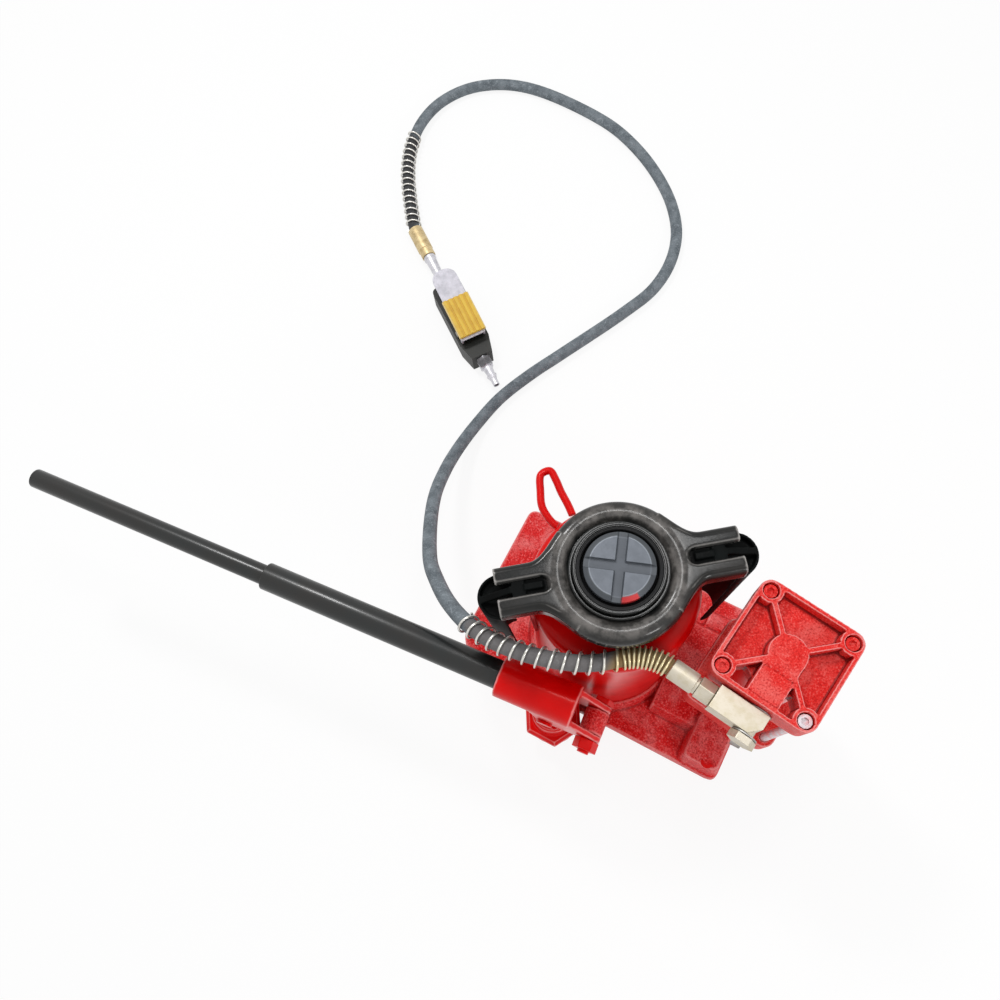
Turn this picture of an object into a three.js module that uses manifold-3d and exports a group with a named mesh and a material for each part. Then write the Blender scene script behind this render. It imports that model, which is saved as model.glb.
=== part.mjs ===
// An air and hand pumped hydraulic bottle jack, in millimetres.
// The Z axis is the ram's axis and z = 0 is the floor. +X runs along the base to the air motor,
// and -Y is the side of the hand pump.

import * as THREE from 'three';
import { mergeVertices } from 'three/addons/utils/BufferGeometryUtils.js';
import Module from 'manifold-3d';

const wasm = await Module();
wasm.setup();

// Clearances and cuts
const gap = 0.3; // between pieces that touch
const slip = 0.4; // between pieces that slide or turn in one another
const overrun = 2; // how far a cut runs past what it cuts
const sink = 1; // how far one shape of a piece runs into the next
const mergeDistance = 0.0001;

// Sides of round pieces
const fine = 28;
const round = 20;
const small = 12;
const hexSides = 6;
const cornerSteps = 3;

// Base casting
const base = {
  left: 124, right: 149, front: 77, back: 84, thickness: 14,
  frontLeftCorner: 26, backLeftCorner: 10, rightCorner: 8,
  seatRadius: 71, seatTop: 24, seatSlope: 4, seatRecess: 6, weldWidth: 3.5, weldHeight: 2,
  spineFront: 42, spineBack: 46, spineTop: 29, spineSlope: 9, spineEnd: 5,
  ridgeX: 97, ridgeY: 57, ridgeLength: 30, ridgeRadius: 10, ridgeHeight: 22,
};
const valveBoss = { left: 108, back: 22, inset: 2, top: 34, corner: 8, slope: 5 };

// Oil tank
const tank = { radius: 66, wall: 3, top: 212, topPlate: 4, shoulder: 8 };

// Hydraulic cylinder, head and seals, each height measured from the one below
const cylinder = { radius: 38, wall: 7, rise: 24 };
const head = { flange: 44, flangeRise: 2, shoulder: 40, shoulderRise: 13, neck: 34, neckRise: 12 };
const tankSeal = { thickness: 2, width: 4 };
const wiper = { radius: 31.5, depth: 9.5, lip: 1 };
const bush = { length: 46, inset: 7.4 };

// Ram, its extension screw and the saddle
const ram = { radius: 28, inset: 5, footRadius: 12, footHeight: 6, screwFloor: 20 };
const piston = { height: 18, sealWidth: 6, sealDepth: 3.5 };
const screw = { radius: 19.6, length: 194, spigotRadius: 12, spigotHeight: 6 };
const saddle = {
  radius: 26, height: 9.4, bevel: 4, bevelDrop: 2.6, foot: 1.5, grooveWidth: 7.5, grooveDepth: 3,
  turn: THREE.MathUtils.degToRad(19.5),
};

// Carrying handle: a pressed ring with two arms, and a half-round grip under each arm
const yoke = {
  turn: THREE.MathUtils.degToRad(37.5), sheet: 2.5, hole: 34.6, lip: 37.6, bend: 40.5, crest: 45.5, fall: 50.5,
  rim: 54, bendRise: 3.4, crestRise: 4.5, fallDrop: 1.8, rimDrop: 6.5, depth: 17, sectionSteps: 10,
  armDrop: 0.3, armStart: 47, armReach: 89.8, armHalf: 18.3, flareStart: 38, flareCorner: 48, flareMiddle: 54,
  flareEnd: 64, flareInner: 28, edge: 5, edgeSteps: 2, slotStart: 56.5, slotHalf: 5.5,
};
const yokeNut = { width: 2.6, height: 3.2 };
const grip = {
  radius: 17, wall: 2, bottom: 82, centre: 88, lean: 6.5, finHalf: 2.5, finDrop: 3, finEnd: 78.5,
  finThickness: 5, hookStart: 68.5, hookHalf: 10, tabStart: 55.4, tabThickness: 3, tabRise: 1.6,
};

// Rod loop on the tank, and the filler plug
const loop = { rod: 3.1, drop: 9, sides: 8, steps: 20 };
const loopRoute = [
  [-58, 24], [-66, 25], [-80, 33], [-88, 45], [-94, 58],
  [-89, 64], [-81, 59], [-73, 52], [-63, 44.5], [-51, 36],
];
const filler = {
  radius: 6, flange: 8, drop: 26, stand: 2.5, flangeThickness: 1.5, turn: THREE.MathUtils.degToRad(227),
};

// Screws in the base
const releaseValve = { y: 36, z: 22, radius: 5, length: 24, stand: 6, slotWidth: 2, slotDepth: 2.5 };
const overload = { x: 133, y: 66, radius: 6, depth: 12, socket: 5, socketDepth: 4 };

// Hand pump, placed on its own axis and turned with its handle
const pump = { x: -9, y: -93.2, turn: THREE.MathUtils.degToRad(4.73), earRadius: 24, neckHalf: 19 };
const pumpBody = {
  flats: 50, hexHeight: 10, radius: 18.5, top: 62, chamfer: 3, spigot: 14, spigotDepth: 14, floor: 3,
};
const gland = { flats: 30, height: 9 };
const fulcrum = { x: 38, z: 120, radius: 5, eye: 10, flats: 18, headThickness: 5, nutThickness: 9, tail: 2.5 };
const plungerPin = { radius: 5, drop: 8, head: 7, headThickness: 2.4, slide: 1.6, lift: 0.8 };
const plunger = { radius: 9.5, foot: 24, tongueHalf: 6, tongueDrop: 12, tongueRise: 10 };
const lug = { half: 10, footWidth: 20, footCorner: 1, footHalf: 10.5, footTop: 22, footBack: 26 };
const socket = {
  radius: 17.2, rise: 45, left: 43.6, right: 21.3, bore: 62, cheek: 5, cheekDrop: 7, cheekLeft: 14, pinEye: 9.5,
};
const handle = { radius: 11.8, wall: 2.6, left: 259 };
const extension = { radius: 8.6, wall: 1.8, left: 497, overlap: 60 };

// Air motor, placed on its own axis
const motor = { x: 131, y: 3, turn: THREE.MathUtils.degToRad(-8.3), stroke: 45 };
const motorHead = {
  edge: 8.5, corner: 9.5, height: 28, rim: 3.5, floor: 16, pitch: 66, ear: 9.5, boss: 14.5, rib: 4.2,
  ductLeft: 11, ductRight: 14, ductDrop: 0.8, upperTop: 240, lowerTop: 103,
};
const motorCylinder = { radius: 28, wall: 2.5 };
const tieBolt = {
  radius: 3.5, head: 5.2, headHeight: 4, counterbore: 6.2, counterboreDepth: 7,
  hexFlats: 5, hexDepth: 2.5, tail: 5,
};
const airPiston = { height: 12, sealWidth: 4, sealDepth: 2 };
const airPlunger = { radius: 6, foot: 66 };
const barrel = { radius: 16, spigot: 12, spigotDepth: 20, seatSlope: 2.5 };
const returnSpring = { radius: 11, wire: 1.5 };

// Air connection on the motor's front face
const block = { left: 25.7, right: 13.5, width: 18.4, height: 20, drop: 18, chamfer: 8, port: 5 };
const banjo = { x: 5.7, radius: 6, reach: 12, flats: 18, headThickness: 6, washer: 9.8, washerThickness: 1.2 };
const swivelNut = { flats: 15.5, length: 12.5, stem: 8 };
const hoseFerrule = { radius: 8.1, length: 20.4, collar: 6.8, collarLength: 1.8, lip: 0.6 };

// Hose, and the guard springs round its ends
const hose = { radius: 6.5, sides: 8, steps: 76, straight: 1.5 };
const guard = { wire: 1, clearance: 1.2, steps: 8, sides: 5 };
const motorGuard = { denseCoils: 10, openCoils: 14, denseLength: 36, openLength: 133 };
const valveGuard = { coils: 16, length: 140 };
const hoseRoute = [
  [52.6, -39.9, 222], [43, -41.9, 221.9], [34, -46, 221.8], [26, -52, 221.6], [17, -59.2, 221.4],
  [5, -66.3, 221.1], [-9, -72, 220.6], [-24, -76.4, 219.3], [-42, -79.8, 216.5], [-66, -80.8, 210],
  [-90, -76.5, 199], [-114, -66.6, 182.5], [-137, -51.5, 161.5], [-157, -34, 139], [-199, 30, 78], [-213, 68, 48],
  [-220, 106, 24], [-220, 144, 10], [-213, 182, 6.8], [-197, 221, 6.8], [-177, 260, 6.8],
  [-138, 337, 6.8], [-122, 377, 6.8], [-119, 416, 6.8], [-128, 454, 6.8], [-149, 488, 6.8],
  [-181, 519, 6.8], [-222, 546, 6.8], [-270, 565, 6.8], [-368, 575, 6.8],
  [-414, 565, 6.8], [-449, 542, 6.8], [-470, 508, 7.5], [-475, 470, 9.5], [-467, 430, 11.5], [-448, 390, 13.3],
];

// Control valve at the hose's end, placed on its own axis
const valve = { x: -401, y: 326, z: 15, turn: THREE.MathUtils.degToRad(-36.9) };
const valveFerrule = { radius: 8.6, length: 41, waist: 0.7, waistShare: 0.75 };
const stem = { collar: 7, collarLength: 4, radius: 6.2, tip: 4.6, length: 43 };
const body = { length: 100, half: 17, height: 24, corner: 6, tailHalf: 12, tailLength: 20 };
const nipple = {
  flats: 14, hexLength: 12, neck: 5.4, bead: 5.8, groove: 4.2, tip: 3.4, length: 36, neckShare: 0.45,
};
const lever = {
  pivot: 68, pinRise: 5.5, pinRadius: 2, pinHead: 3.2, pinHeadThickness: 1.2, ear: 4.6, half: 14, sheet: 2,
  reach: 75, tail: 13, corner: 12, lift: 5, flangeDrop: 3.8, flangeLength: 22,
  rest: THREE.MathUtils.degToRad(5.5),
};
const pad = { left: 37, right: 10.5, half: 15.5, thickness: 2.6, rib: 1.2, ribs: 5, ribShare: 0.6 };
const button = { offset: 34, radius: 4, depth: 9, travel: 5 };

// Looks of the materials
const material = (color, roughness, metalness) =>
  new THREE.MeshStandardMaterial({ color, roughness, metalness });
const castRed = () => material(0xc8202a, 0.6, 0);
const gloss = () => material(0xc4000c, 0.3, 0);
const pressedBlack = () => material(0x26282a, 0.3, 0.2);
const saddleGrey = () => material(0x737a82, 0.5, 0.5);
const steel = () => material(0xa0a0a0, 0.35, 1);
const chrome = () => material(0xd8dadc, 0.12, 1);
const zinc = () => material(0xded8c4, 0.35, 0.8);
const tanSteel = () => material(0xc0a468, 0.4, 0.8);
const springSteel = () => material(0xc9c7c2, 0.3, 1);
const rubber = () => material(0x1c1c1c, 0.85, 0);
const hoseGrey = () => material(0x66707a, 0.8, 0);
const oliveBlack = () => material(0x35362e, 0.5, 0.1);
const yellow = () => material(0xf0c640, 0.5, 0);

// Closed bodies, joined and cut

function signedVolume(position, index) {
  const [a, b, c] = [new THREE.Vector3(), new THREE.Vector3(), new THREE.Vector3()];
  let sum = 0;
  for (let i = 0; i < index.length; i += 3) {
    a.fromBufferAttribute(position, index[i]);
    b.fromBufferAttribute(position, index[i + 1]);
    c.fromBufferAttribute(position, index[i + 2]);
    sum += a.dot(b.cross(c));
  }
  return sum;
}

function closed(geometry) {
  // Shared corners are merged, faces without area dropped, and all faces point out.
  const bare = new THREE.BufferGeometry();
  bare.setAttribute('position', geometry.getAttribute('position').clone());
  if (geometry.index) bare.setIndex(geometry.index.clone());
  const merged = mergeVertices(bare, mergeDistance);
  const faces = [];
  for (let i = 0; i < merged.index.count; i += 3) {
    const [a, b, c] = [0, 1, 2].map((k) => merged.index.getX(i + k));
    if (a !== b && b !== c && c !== a) faces.push(a, b, c);
  }
  if (signedVolume(merged.getAttribute('position'), faces) < 0) faces.reverse();
  merged.setIndex(faces);
  return merged;
}

function toSolid(geometry) {
  const whole = closed(geometry);
  const vertProperties = new Float32Array(whole.getAttribute('position').array);
  const triVerts = new Uint32Array(whole.index.array);
  return new wasm.Manifold(new wasm.Mesh({ numProp: 3, vertProperties, triVerts }));
}

function toGeometry(solid) {
  const mesh = solid.getMesh();
  const geometry = new THREE.BufferGeometry();
  geometry.setAttribute('position', new THREE.BufferAttribute(new Float32Array(mesh.vertProperties), 3));
  geometry.setIndex(new THREE.BufferAttribute(new Uint32Array(mesh.triVerts), 1));
  return geometry;
}

function combine(method, first, others) {
  return toGeometry(others.reduce((solid, other) => solid[method](toSolid(other)), toSolid(first)));
}

const join = (first, ...others) => combine('add', first, others);
const cut = (first, ...others) => combine('subtract', first, others);
const common = (first, ...others) => combine('intersect', first, others);

// Basic shapes along the Z axis

function cone(lower, upper, z0, z1, sides = round) {
  const shape = new THREE.CylinderGeometry(upper, lower, z1 - z0, sides);
  return shape.rotateX(Math.PI / 2).rotateZ(Math.PI / sides).translate(0, 0, (z0 + z1) / 2);
}

const rod = (radius, z0, z1, sides = round) => cone(radius, radius, z0, z1, sides);

function hexagon(flats, z0, z1) {
  const radius = flats / 2 / Math.cos(Math.PI / hexSides);
  return rod(radius, z0, z1, hexSides);
}

function turned(profile, sides = round) {
  // A profile of [radius, z] is turned round the Z axis. One that stays off the axis closes on itself.
  const points = profile.map(([radius, z]) => new THREE.Vector2(radius, z));
  const open = profile[0][0] > 0 || profile[profile.length - 1][0] > 0;
  if (open) points.push(points[0].clone());
  return new THREE.LatheGeometry(points, sides).rotateX(Math.PI / 2).rotateZ(Math.PI / sides);
}

const sleeve = (inner, outer, z0, z1, sides = round) =>
  turned([[inner, z0], [outer, z0], [outer, z1], [inner, z1]], sides);

function box(x0, x1, y0, y1, z0, z1) {
  const shape = new THREE.BoxGeometry(x1 - x0, y1 - y0, z1 - z0);
  return shape.translate((x0 + x1) / 2, (y0 + y1) / 2, (z0 + z1) / 2);
}

function prism(outline, z0, z1) {
  const options = { depth: z1 - z0, bevelEnabled: false, curveSegments: cornerSteps };
  return new THREE.ExtrudeGeometry(outline, options).translate(0, 0, z0);
}

function polygon(points) {
  return new THREE.Shape(points.map(([x, y]) => new THREE.Vector2(x, y)));
}

function roundedOutline(x0, x1, y0, y1, [corner00, corner10, corner11, corner01]) {
  // The corner radii run from the one at x0, y0 anticlockwise.
  const outline = new THREE.Shape();
  outline.moveTo(x0 + corner00, y0);
  outline.lineTo(x1 - corner10, y0);
  outline.absarc(x1 - corner10, y0 + corner10, corner10, -Math.PI / 2, 0);
  outline.lineTo(x1, y1 - corner11);
  outline.absarc(x1 - corner11, y1 - corner11, corner11, 0, Math.PI / 2);
  outline.lineTo(x0 + corner01, y1);
  outline.absarc(x0 + corner01, y1 - corner01, corner01, Math.PI / 2, Math.PI);
  outline.lineTo(x0, y0 + corner00);
  outline.absarc(x0 + corner00, y0 + corner00, corner00, Math.PI, -Math.PI / 2);
  return outline;
}

const squareOutline = (half, corner) =>
  roundedOutline(-half, half, -half, half, [corner, corner, corner, corner]);

function tapered(outline, z0, z1, shrink) {
  // An extruded outline whose top is drawn in on every side.
  const shape = prism(outline, z0, z1);
  const position = shape.getAttribute('position');
  shape.computeBoundingBox();
  const centre = shape.boundingBox.getCenter(new THREE.Vector3());
  const size = shape.boundingBox.getSize(new THREE.Vector3());
  for (let i = 0; i < position.count; i += 1) {
    if (position.getZ(i) < z1 - mergeDistance) continue;
    position.setX(i, centre.x + (position.getX(i) - centre.x) * (1 - 2 * shrink / size.x));
    position.setY(i, centre.y + (position.getY(i) - centre.y) * (1 - 2 * shrink / size.y));
  }
  return shape;
}

function hullOutline(circles) {
  // The outline of a band drawn tight round circles of [x, y, radius].
  const points = circles.flatMap(([x, y, radius]) =>
    Array.from({ length: small }, (_, i) => {
      const angle = 2 * Math.PI * i / small;
      return [x + radius * Math.cos(angle), y + radius * Math.sin(angle)];
    }));
  points.sort((p, q) => p[0] - q[0] || p[1] - q[1]);
  const turn = (o, p, q) => (p[0] - o[0]) * (q[1] - o[1]) - (p[1] - o[1]) * (q[0] - o[0]);
  const half = (list) => {
    const chain = [];
    for (const point of list) {
      while (chain.length > 1 && turn(chain.at(-2), chain.at(-1), point) <= mergeDistance) chain.pop();
      chain.push(point);
    }
    return chain.slice(0, -1);
  };
  return polygon([...half(points), ...half(points.reverse())]);
}

const alongX = (shape) => shape.rotateY(Math.PI / 2);
const alongY = (shape) => shape.rotateX(-Math.PI / 2);
const upright = (shape) => shape.rotateX(Math.PI / 2); // an outline's y becomes z, its depth runs to -Y

function sheetSection(middle, thickness, steps) {
  // The closed outline of a sheet of even thickness that follows a smooth middle line.
  const line = new THREE.SplineCurve(middle.map(([x, y]) => new THREE.Vector2(x, y)));
  const side = (offset) => Array.from({ length: steps + 1 }, (_, i) => {
    const point = line.getPoint(i / steps);
    const along = line.getTangent(i / steps);
    return [point.x - along.y * offset, point.y + along.x * offset];
  });
  return [...side(thickness / 2), ...side(-thickness / 2).reverse()];
}

const smoothCurve = (points) => new THREE.CatmullRomCurve3(points, false, 'centripetal');

function sweptRod(path, radius, sides, steps) {
  const section = new THREE.Shape();
  section.absarc(0, 0, radius, 0, 2 * Math.PI);
  const options = { steps, extrudePath: path, curveSegments: sides / 2, bevelEnabled: false };
  return new THREE.ExtrudeGeometry(section, options);
}

// The finished group

const jack = new THREE.Group();
jack.name = 'air_hydraulic_bottle_jack';
const pumpGroup = new THREE.Group();
pumpGroup.position.set(pump.x, pump.y, 0);
pumpGroup.rotation.z = pump.turn;
const motorGroup = new THREE.Group();
motorGroup.position.set(motor.x, motor.y, 0);
motorGroup.rotation.z = motor.turn;
const valveGroup = new THREE.Group();
valveGroup.position.set(valve.x, valve.y, valve.z);
valveGroup.rotation.z = valve.turn;
jack.add(pumpGroup, motorGroup, valveGroup);

function piece(name, geometry, look, parent = jack) {
  const mesh = new THREE.Mesh(closed(geometry), look);
  mesh.name = name;
  parent.add(mesh);
  return mesh;
}

const inPumpFrame = (shape) => shape.rotateZ(pump.turn).translate(pump.x, pump.y, 0);
const inMotorFrame = (shape) => shape.rotateZ(motor.turn).translate(motor.x, motor.y, 0);

// Base casting

const recessFloor = base.seatTop - base.seatRecess;
const bodySeat = base.seatTop + gap; // where the hand pump's hexagon rests
const barrelSeat = base.spineTop + base.spineEnd;
const plungerPinZ = fulcrum.z - plungerPin.drop;
const socketZ = fulcrum.z + socket.rise;

function spineShape() {
  const outline = polygon([
    [-base.spineFront - base.spineSlope, 0], [base.spineBack + base.spineSlope, 0],
    [base.spineBack, base.spineTop], [-base.spineFront, base.spineTop],
  ]);
  const length = base.right - base.spineEnd;
  // The outline's x becomes y and its y becomes z.
  return prism(outline, 0, length).rotateX(Math.PI / 2).rotateZ(Math.PI / 2);
}

function pumpLug() {
  const outline = hullOutline([
    [fulcrum.x, fulcrum.z, fulcrum.eye],
    [fulcrum.x - lug.footWidth / 2 + lug.footCorner, lug.footCorner, lug.footCorner],
    [fulcrum.x + lug.footWidth / 2 - lug.footCorner, lug.footCorner, lug.footCorner],
  ]);
  return upright(prism(outline, -lug.half, lug.half));
}

function pumpEar() {
  const ear = rod(pump.earRadius, 0, base.seatTop);
  const neck = box(-pump.neckHalf, pump.neckHalf, 0, -pump.y - base.front + lug.footBack, 0, base.seatTop);
  const foot = box(
    fulcrum.x - lug.footWidth / 2, fulcrum.x + lug.footWidth / 2,
    -lug.footHalf, -pump.y - base.front + lug.footBack, 0, lug.footTop,
  );
  return [ear, neck, foot, pumpLug()].map(inPumpFrame);
}

function baseCasting() {
  const corners = [base.frontLeftCorner, base.rightCorner, base.rightCorner, base.backLeftCorner];
  const plateOutline = roundedOutline(-base.left, base.right, -base.front, base.back, corners);
  const plate = prism(plateOutline, 0, base.thickness);
  const seat = cone(base.seatRadius + base.seatSlope, base.seatRadius, 0, base.seatTop, fine);
  const bossCorners = [valveBoss.corner, valveBoss.corner, valveBoss.corner, valveBoss.corner];
  const bossOutline = roundedOutline(
    valveBoss.left, base.right - valveBoss.inset, -base.front + valveBoss.inset, -valveBoss.back, bossCorners,
  );
  const boss = tapered(bossOutline, base.thickness - overrun, valveBoss.top, valveBoss.slope);
  const ridge = alongX(rod(base.ridgeRadius, -base.ridgeLength / 2, base.ridgeLength / 2, small));
  ridge.translate(base.ridgeX, base.ridgeY, base.ridgeHeight - base.ridgeRadius);
  const motorSeat = inMotorFrame(cone(barrel.radius + barrel.seatSlope, barrel.radius + gap, 0, barrelSeat));
  const solid = join(plate, seat, spineShape(), boss, ridge, motorSeat, ...pumpEar());
  const tankRoom = rod(tank.radius + gap, base.seatTop, barrelSeat + overrun, fine);
  const weld = turned([
    [tank.radius + gap, base.seatTop - sink], [base.seatRadius, base.seatTop - sink],
    [tank.radius + gap + base.weldWidth, base.seatTop],
    [tank.radius + gap + sink, base.seatTop + base.weldHeight],
    [tank.radius + gap, base.seatTop + base.weldHeight],
  ], fine);

  const recess = rod(cylinder.radius + gap, recessFloor, barrelSeat + overrun, fine);
  const hexRoom = hexagon(pumpBody.flats + 2 * gap, base.seatTop, bodySeat + pumpBody.hexHeight);
  const spigotHole = join(
    rod(pumpBody.spigot + gap, base.seatTop - pumpBody.spigotDepth, base.seatTop + overrun),
    hexRoom.rotateZ(-pump.turn),
  );
  const barrelHole = inMotorFrame(
    rod(barrel.spigot + gap, barrelSeat - barrel.spigotDepth, barrelSeat + overrun),
  );
  const pinHole = alongY(rod(fulcrum.radius + slip, -lug.half - overrun, lug.half + overrun, small));
  pinHole.translate(fulcrum.x, 0, fulcrum.z);
  const valveDepth = releaseValve.length - releaseValve.stand + gap;
  const valveHole = alongX(rod(releaseValve.radius + gap, -valveDepth, overrun, small));
  valveHole.translate(base.right, -releaseValve.y, releaseValve.z);
  const plugHole = rod(overload.radius + gap, valveBoss.top - overload.depth, valveBoss.top + overrun, small)
    .translate(overload.x, -overload.y, 0);
  return cut(
    join(cut(solid, tankRoom), weld), recess, inPumpFrame(spigotHole), barrelHole, inPumpFrame(pinHole),
    valveHole, plugHole,
  );
}

piece('base_casting', baseCasting(), castRed());

// Oil tank, hydraulic cylinder and head

function tankShape() {
  const foot = base.seatTop + gap;
  const inside = tank.radius - tank.wall;
  const hole = cylinder.radius + slip;
  const profile = [[inside, foot], [tank.radius, foot]];
  for (let i = 0; i <= cornerSteps; i += 1) {
    const angle = Math.PI / 2 * i / cornerSteps;
    profile.push([
      tank.radius - tank.shoulder * (1 - Math.cos(angle)), tank.top - tank.shoulder * (1 - Math.sin(angle)),
    ]);
  }
  profile.push([hole, tank.top], [hole, tank.top - tank.topPlate]);
  profile.push([inside - tank.shoulder, tank.top - tank.topPlate]);
  profile.push([inside, tank.top - tank.shoulder - tank.wall]);
  const plugHole = radialPlug(filler.radius + gap, -tank.wall - overrun, overrun);
  return cut(turned(profile, fine), plugHole);
}

function radialPlug(radius, inner, outer) {
  // A round piece square to the tank's wall, measured from that wall.
  const shape = alongX(rod(radius, tank.radius + inner, tank.radius + outer, small));
  return shape.rotateZ(filler.turn).translate(0, 0, tank.top - filler.drop);
}

const headFoot = tank.top + tankSeal.thickness + 2 * gap;
const cylinderTop = tank.top + cylinder.rise;
const flangeTop = cylinderTop + head.flangeRise;
const shoulderTop = flangeTop + head.shoulderRise;
const headTop = shoulderTop + head.neckRise;
const ramTop = headTop - ram.inset;

function headShape() {
  const inner = cylinder.radius + gap;
  const wiperFloor = headTop - wiper.depth;
  return turned([
    [inner, headFoot], [head.flange, headFoot], [head.flange, flangeTop], [head.shoulder, shoulderTop],
    [head.neck, shoulderTop], [head.neck, headTop], [wiper.radius, headTop], [wiper.radius, wiperFloor],
    [ram.radius + slip, wiperFloor], [ram.radius + slip, cylinderTop + gap], [inner, cylinderTop + gap],
  ], fine);
}

function wiperShape() {
  const foot = headTop - wiper.depth + gap;
  const outer = wiper.radius - gap;
  return turned([
    [ram.radius + slip, foot], [outer, foot], [outer, headTop - wiper.lip], [outer - wiper.lip, headTop],
    [ram.radius + slip + wiper.lip, headTop], [ram.radius + slip, headTop - wiper.lip],
  ], fine);
}

piece('hydraulic_cylinder', sleeve(
  cylinder.radius - cylinder.wall, cylinder.radius, recessFloor + gap, cylinderTop, fine,
), steel());
piece('reservoir_tank', tankShape(), gloss());
piece('tank_seal', sleeve(
  head.flange - tankSeal.width, head.flange, tank.top + gap, tank.top + gap + tankSeal.thickness, fine,
), rubber());
piece('tank_head', headShape(), pressedBlack());
piece('wiper_seal', wiperShape(), rubber());

// Ram, extension screw and saddle

const bore = cylinder.radius - cylinder.wall;
const ramFoot = recessFloor + gap;
const pistonFoot = ramFoot + ram.footHeight;
const pistonTop = pistonFoot + piston.height;
const sealFoot = pistonFoot + (piston.height - piston.sealWidth) / 2;
const pistonRadius = bore - slip;
const screwFloor = pistonTop + ram.screwFloor;
const saddleFoot = ramTop + gap;
const saddleTop = saddleFoot + saddle.height;

function ramShape() {
  const groove = pistonRadius - piston.sealDepth;
  const inner = screw.radius + slip;
  return turned([
    [0, ramFoot], [ram.footRadius, ramFoot], [ram.footRadius, pistonFoot], [pistonRadius, pistonFoot],
    [pistonRadius, sealFoot], [groove, sealFoot], [groove, sealFoot + piston.sealWidth],
    [pistonRadius, sealFoot + piston.sealWidth], [pistonRadius, pistonTop], [ram.radius, pistonTop],
    [ram.radius, ramTop], [inner, ramTop], [inner, screwFloor], [0, screwFloor],
  ], fine);
}

function saddleShape() {
  const spigot = screw.spigotRadius + gap;
  const spigotTop = saddleFoot + screw.spigotHeight + gap;
  const disc = turned([
    [0, spigotTop], [spigot, spigotTop], [spigot, saddleFoot], [saddle.radius - saddle.foot, saddleFoot],
    [saddle.radius, saddleFoot + saddle.foot], [saddle.radius, saddleTop - saddle.bevelDrop],
    [saddle.radius - saddle.bevel, saddleTop], [0, saddleTop],
  ], fine);
  const grooveHalf = saddle.grooveWidth / 2;
  const reach = saddle.radius + overrun;
  const floor = saddleTop - saddle.grooveDepth;
  const bar = () => box(-reach, reach, -grooveHalf, grooveHalf, floor, saddleTop + overrun);
  return cut(disc, bar().rotateZ(saddle.turn), bar().rotateZ(saddle.turn + Math.PI / 2));
}

function screwShape() {
  return turned([
    [0, ramTop - screw.length], [screw.radius, ramTop - screw.length], [screw.radius, ramTop],
    [screw.spigotRadius, ramTop], [screw.spigotRadius, saddleFoot + screw.spigotHeight],
    [0, saddleFoot + screw.spigotHeight],
  ]);
}

piece('ram', ramShape(), chrome());
piece('ram_piston_seal', sleeve(
  pistonRadius - piston.sealDepth + gap, bore - gap, sealFoot + gap, sealFoot + piston.sealWidth - gap, fine,
), rubber());
const bushTop = cylinderTop - bush.inset;
piece('guide_bush', sleeve(ram.radius + slip, bore - gap, bushTop - bush.length, bushTop, fine), tanSteel());
piece('extension_screw', screwShape(), steel());
piece('saddle', saddleShape(), saddleGrey());

// Carrying handle

const yokeSeat = shoulderTop + gap;
const crestTop = yokeSeat + yoke.sheet + yoke.crestRise;
const armTop = crestTop - yoke.armDrop;
const armFoot = armTop - yoke.depth;

function yokeRing() {
  const low = yokeSeat + yoke.sheet / 2;
  const crest = crestTop - yoke.sheet / 2;
  const wall = yoke.rim - yoke.sheet / 2;
  const section = sheetSection([
    [yoke.hole, low], [yoke.lip, low], [yoke.bend, low + yoke.bendRise], [yoke.crest, crest],
    [yoke.fall, crest - yoke.fallDrop], [wall, crest - yoke.rimDrop], [wall, armFoot],
  ], yoke.sheet, yoke.sectionSteps);
  return turned(section, fine);
}

function armOutline(inset) {
  // One arm from above. Its sides leave the ring along the ring's own edge.
  const end = yoke.armReach + (inset > 0 ? overrun : 0);
  const outline = new THREE.Shape();
  const side = yoke.armHalf - inset;
  outline.moveTo(0, inset - yoke.flareStart);
  outline.lineTo(yoke.flareStart - inset, inset - yoke.flareStart);
  outline.bezierCurveTo(
    yoke.flareCorner - inset, inset - yoke.flareInner, yoke.flareMiddle, -side, yoke.flareEnd, -side,
  );
  outline.lineTo(end, -side);
  outline.lineTo(end, side);
  outline.lineTo(yoke.flareEnd, side);
  outline.bezierCurveTo(
    yoke.flareMiddle, side, yoke.flareCorner - inset, yoke.flareInner - inset, yoke.flareStart - inset,
    yoke.flareStart - inset,
  );
  outline.lineTo(0, yoke.flareStart - inset);
  return outline;
}

function softened(outline, z0, z1, edge) {
  // An extruded outline whose upper edge is rounded.
  const options = {
    depth: z1 - z0 - edge, bevelThickness: edge, bevelSize: edge, bevelOffset: -edge,
    bevelSegments: yoke.edgeSteps, curveSegments: 2 * cornerSteps,
  };
  const reach = 2 * yoke.armReach;
  const below = box(-reach, reach, -reach, reach, z0 - edge - overrun, z0);
  return cut(new THREE.ExtrudeGeometry(outline, options).translate(0, 0, z0), below);
}

function yokeArm() {
  const outer = softened(armOutline(0), armFoot, armTop, yoke.edge);
  const innerEdge = yoke.edge - yoke.sheet;
  const inner = softened(armOutline(yoke.sheet), armFoot - overrun, armTop - yoke.sheet, innerEdge);
  const ringRoom = rod(yoke.armStart, armFoot - overrun, armTop + overrun, fine);
  return cut(outer, inner, ringRoom);
}

function armSlot() {
  return join(
    box(
      yoke.slotStart, yoke.armReach + overrun, -yoke.slotHalf, yoke.slotHalf,
      armFoot - overrun, armTop + overrun,
    ),
    rod(yoke.slotHalf, armFoot - overrun, armTop + overrun, small).translate(yoke.slotStart, 0, 0),
  );
}

function carryHandle() {
  const whole = join(yokeRing(), yokeArm(), yokeArm().rotateZ(Math.PI));
  return cut(whole, armSlot(), armSlot().rotateZ(Math.PI)).rotateZ(yoke.turn);
}

const gripTop = armFoot - gap;

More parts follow.
